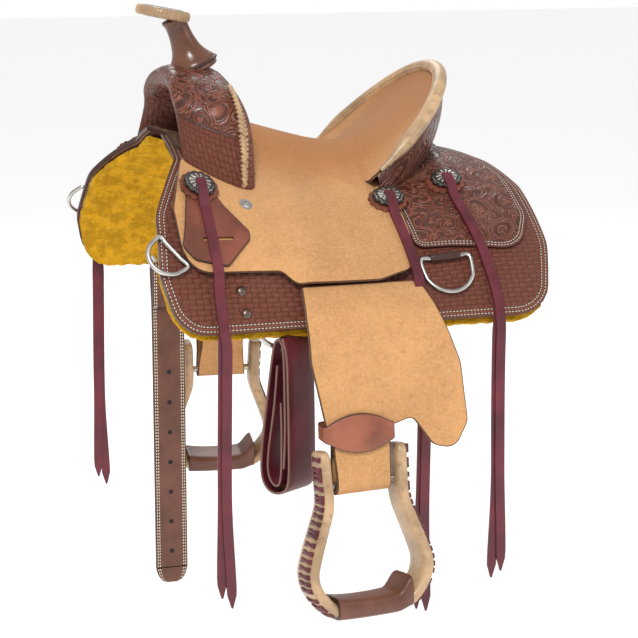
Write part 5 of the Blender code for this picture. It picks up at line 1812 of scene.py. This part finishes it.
class SADDLE_OT_hobbles(bpy.types.Operator):
    """Add the hobble straps"""
    bl_idname = "saddle.hobbles"
    bl_label = "Hobble straps"

    def execute(self, context):
        build_hobbles()
        return {"FINISHED"}


class SADDLE_OT_stirrups(bpy.types.Operator):
    """Add the stirrups, lacing and treads"""
    bl_idname = "saddle.stirrups"
    bl_label = "Stirrups"

    def execute(self, context):
        build_stirrups()
        return {"FINISHED"}


class SADDLE_OT_rigging(bpy.types.Operator):
    """Add the steel rings that the straps hang from"""
    bl_idname = "saddle.rigging"
    bl_label = "Rigging rings"

    def execute(self, context):
        build_rigging()
        return {"FINISHED"}


class SADDLE_OT_straps(bpy.types.Operator):
    """Add the latigo and the off billet"""
    bl_idname = "saddle.straps"
    bl_label = "Straps"

    def execute(self, context):
        build_straps()
        return {"FINISHED"}


class SADDLE_OT_metal(bpy.types.Operator):
    """Add rivets and screws, and finish the steel"""
    bl_idname = "saddle.metal"
    bl_label = "Small metal"

    def execute(self, context):
        build_small_metal()
        return {"FINISHED"}


class SADDLE_OT_stage(bpy.types.Operator):
    """Add floor, lights and camera"""
    bl_idname = "saddle.stage"
    bl_label = "Studio"

    def execute(self, context):
        build_stage()
        return {"FINISHED"}


OPERATORS = (
    SADDLE_OT_finishes, SADDLE_OT_skirts, SADDLE_OT_fleece, SADDLE_OT_seat, SADDLE_OT_fork, SADDLE_OT_horn,
    SADDLE_OT_cantle, SADDLE_OT_conchos, SADDLE_OT_strings, SADDLE_OT_dees, SADDLE_OT_fenders,
    SADDLE_OT_hobbles, SADDLE_OT_stirrups, SADDLE_OT_rigging, SADDLE_OT_straps, SADDLE_OT_metal,
    SADDLE_OT_stage,
)


class SADDLE_PT_panel(bpy.types.Panel):
    """Buttons for each piece of the saddle"""
    bl_label = "Saddle"
    bl_idname = "SADDLE_PT_panel"
    bl_space_type = "VIEW_3D"
    bl_region_type = "UI"
    bl_category = "Saddle"

    def draw(self, context):
        look, strings = context.scene.saddle_leather, context.scene.saddle_strings
        for name in ("suede", "tooled", "rawhide", "burgundy", "wool", "grid", "basket"):
            self.layout.prop(look, name)
        for name in ("width", "scallops"):
            self.layout.prop(strings, name)
        for each in OPERATORS:
            self.layout.operator(each.bl_idname)


CLASSES = [SaddleLeather, SaddleStrings, *OPERATORS, SADDLE_PT_panel]


def register():
    for each in CLASSES:
        bpy.utils.register_class(each)
    bpy.types.Scene.saddle_leather = PointerProperty(type=SaddleLeather)
    bpy.types.Scene.saddle_strings = PointerProperty(type=SaddleStrings)


def unregister():
    del bpy.types.Scene.saddle_strings
    del bpy.types.Scene.saddle_leather
    for each in reversed(CLASSES):
        bpy.utils.unregister_class(each)


def main():
    register()
    for each in OPERATORS:
        group, name = each.bl_idname.split(".")
        getattr(getattr(bpy.ops, group), name)()


if __name__ == "__main__":
    main()
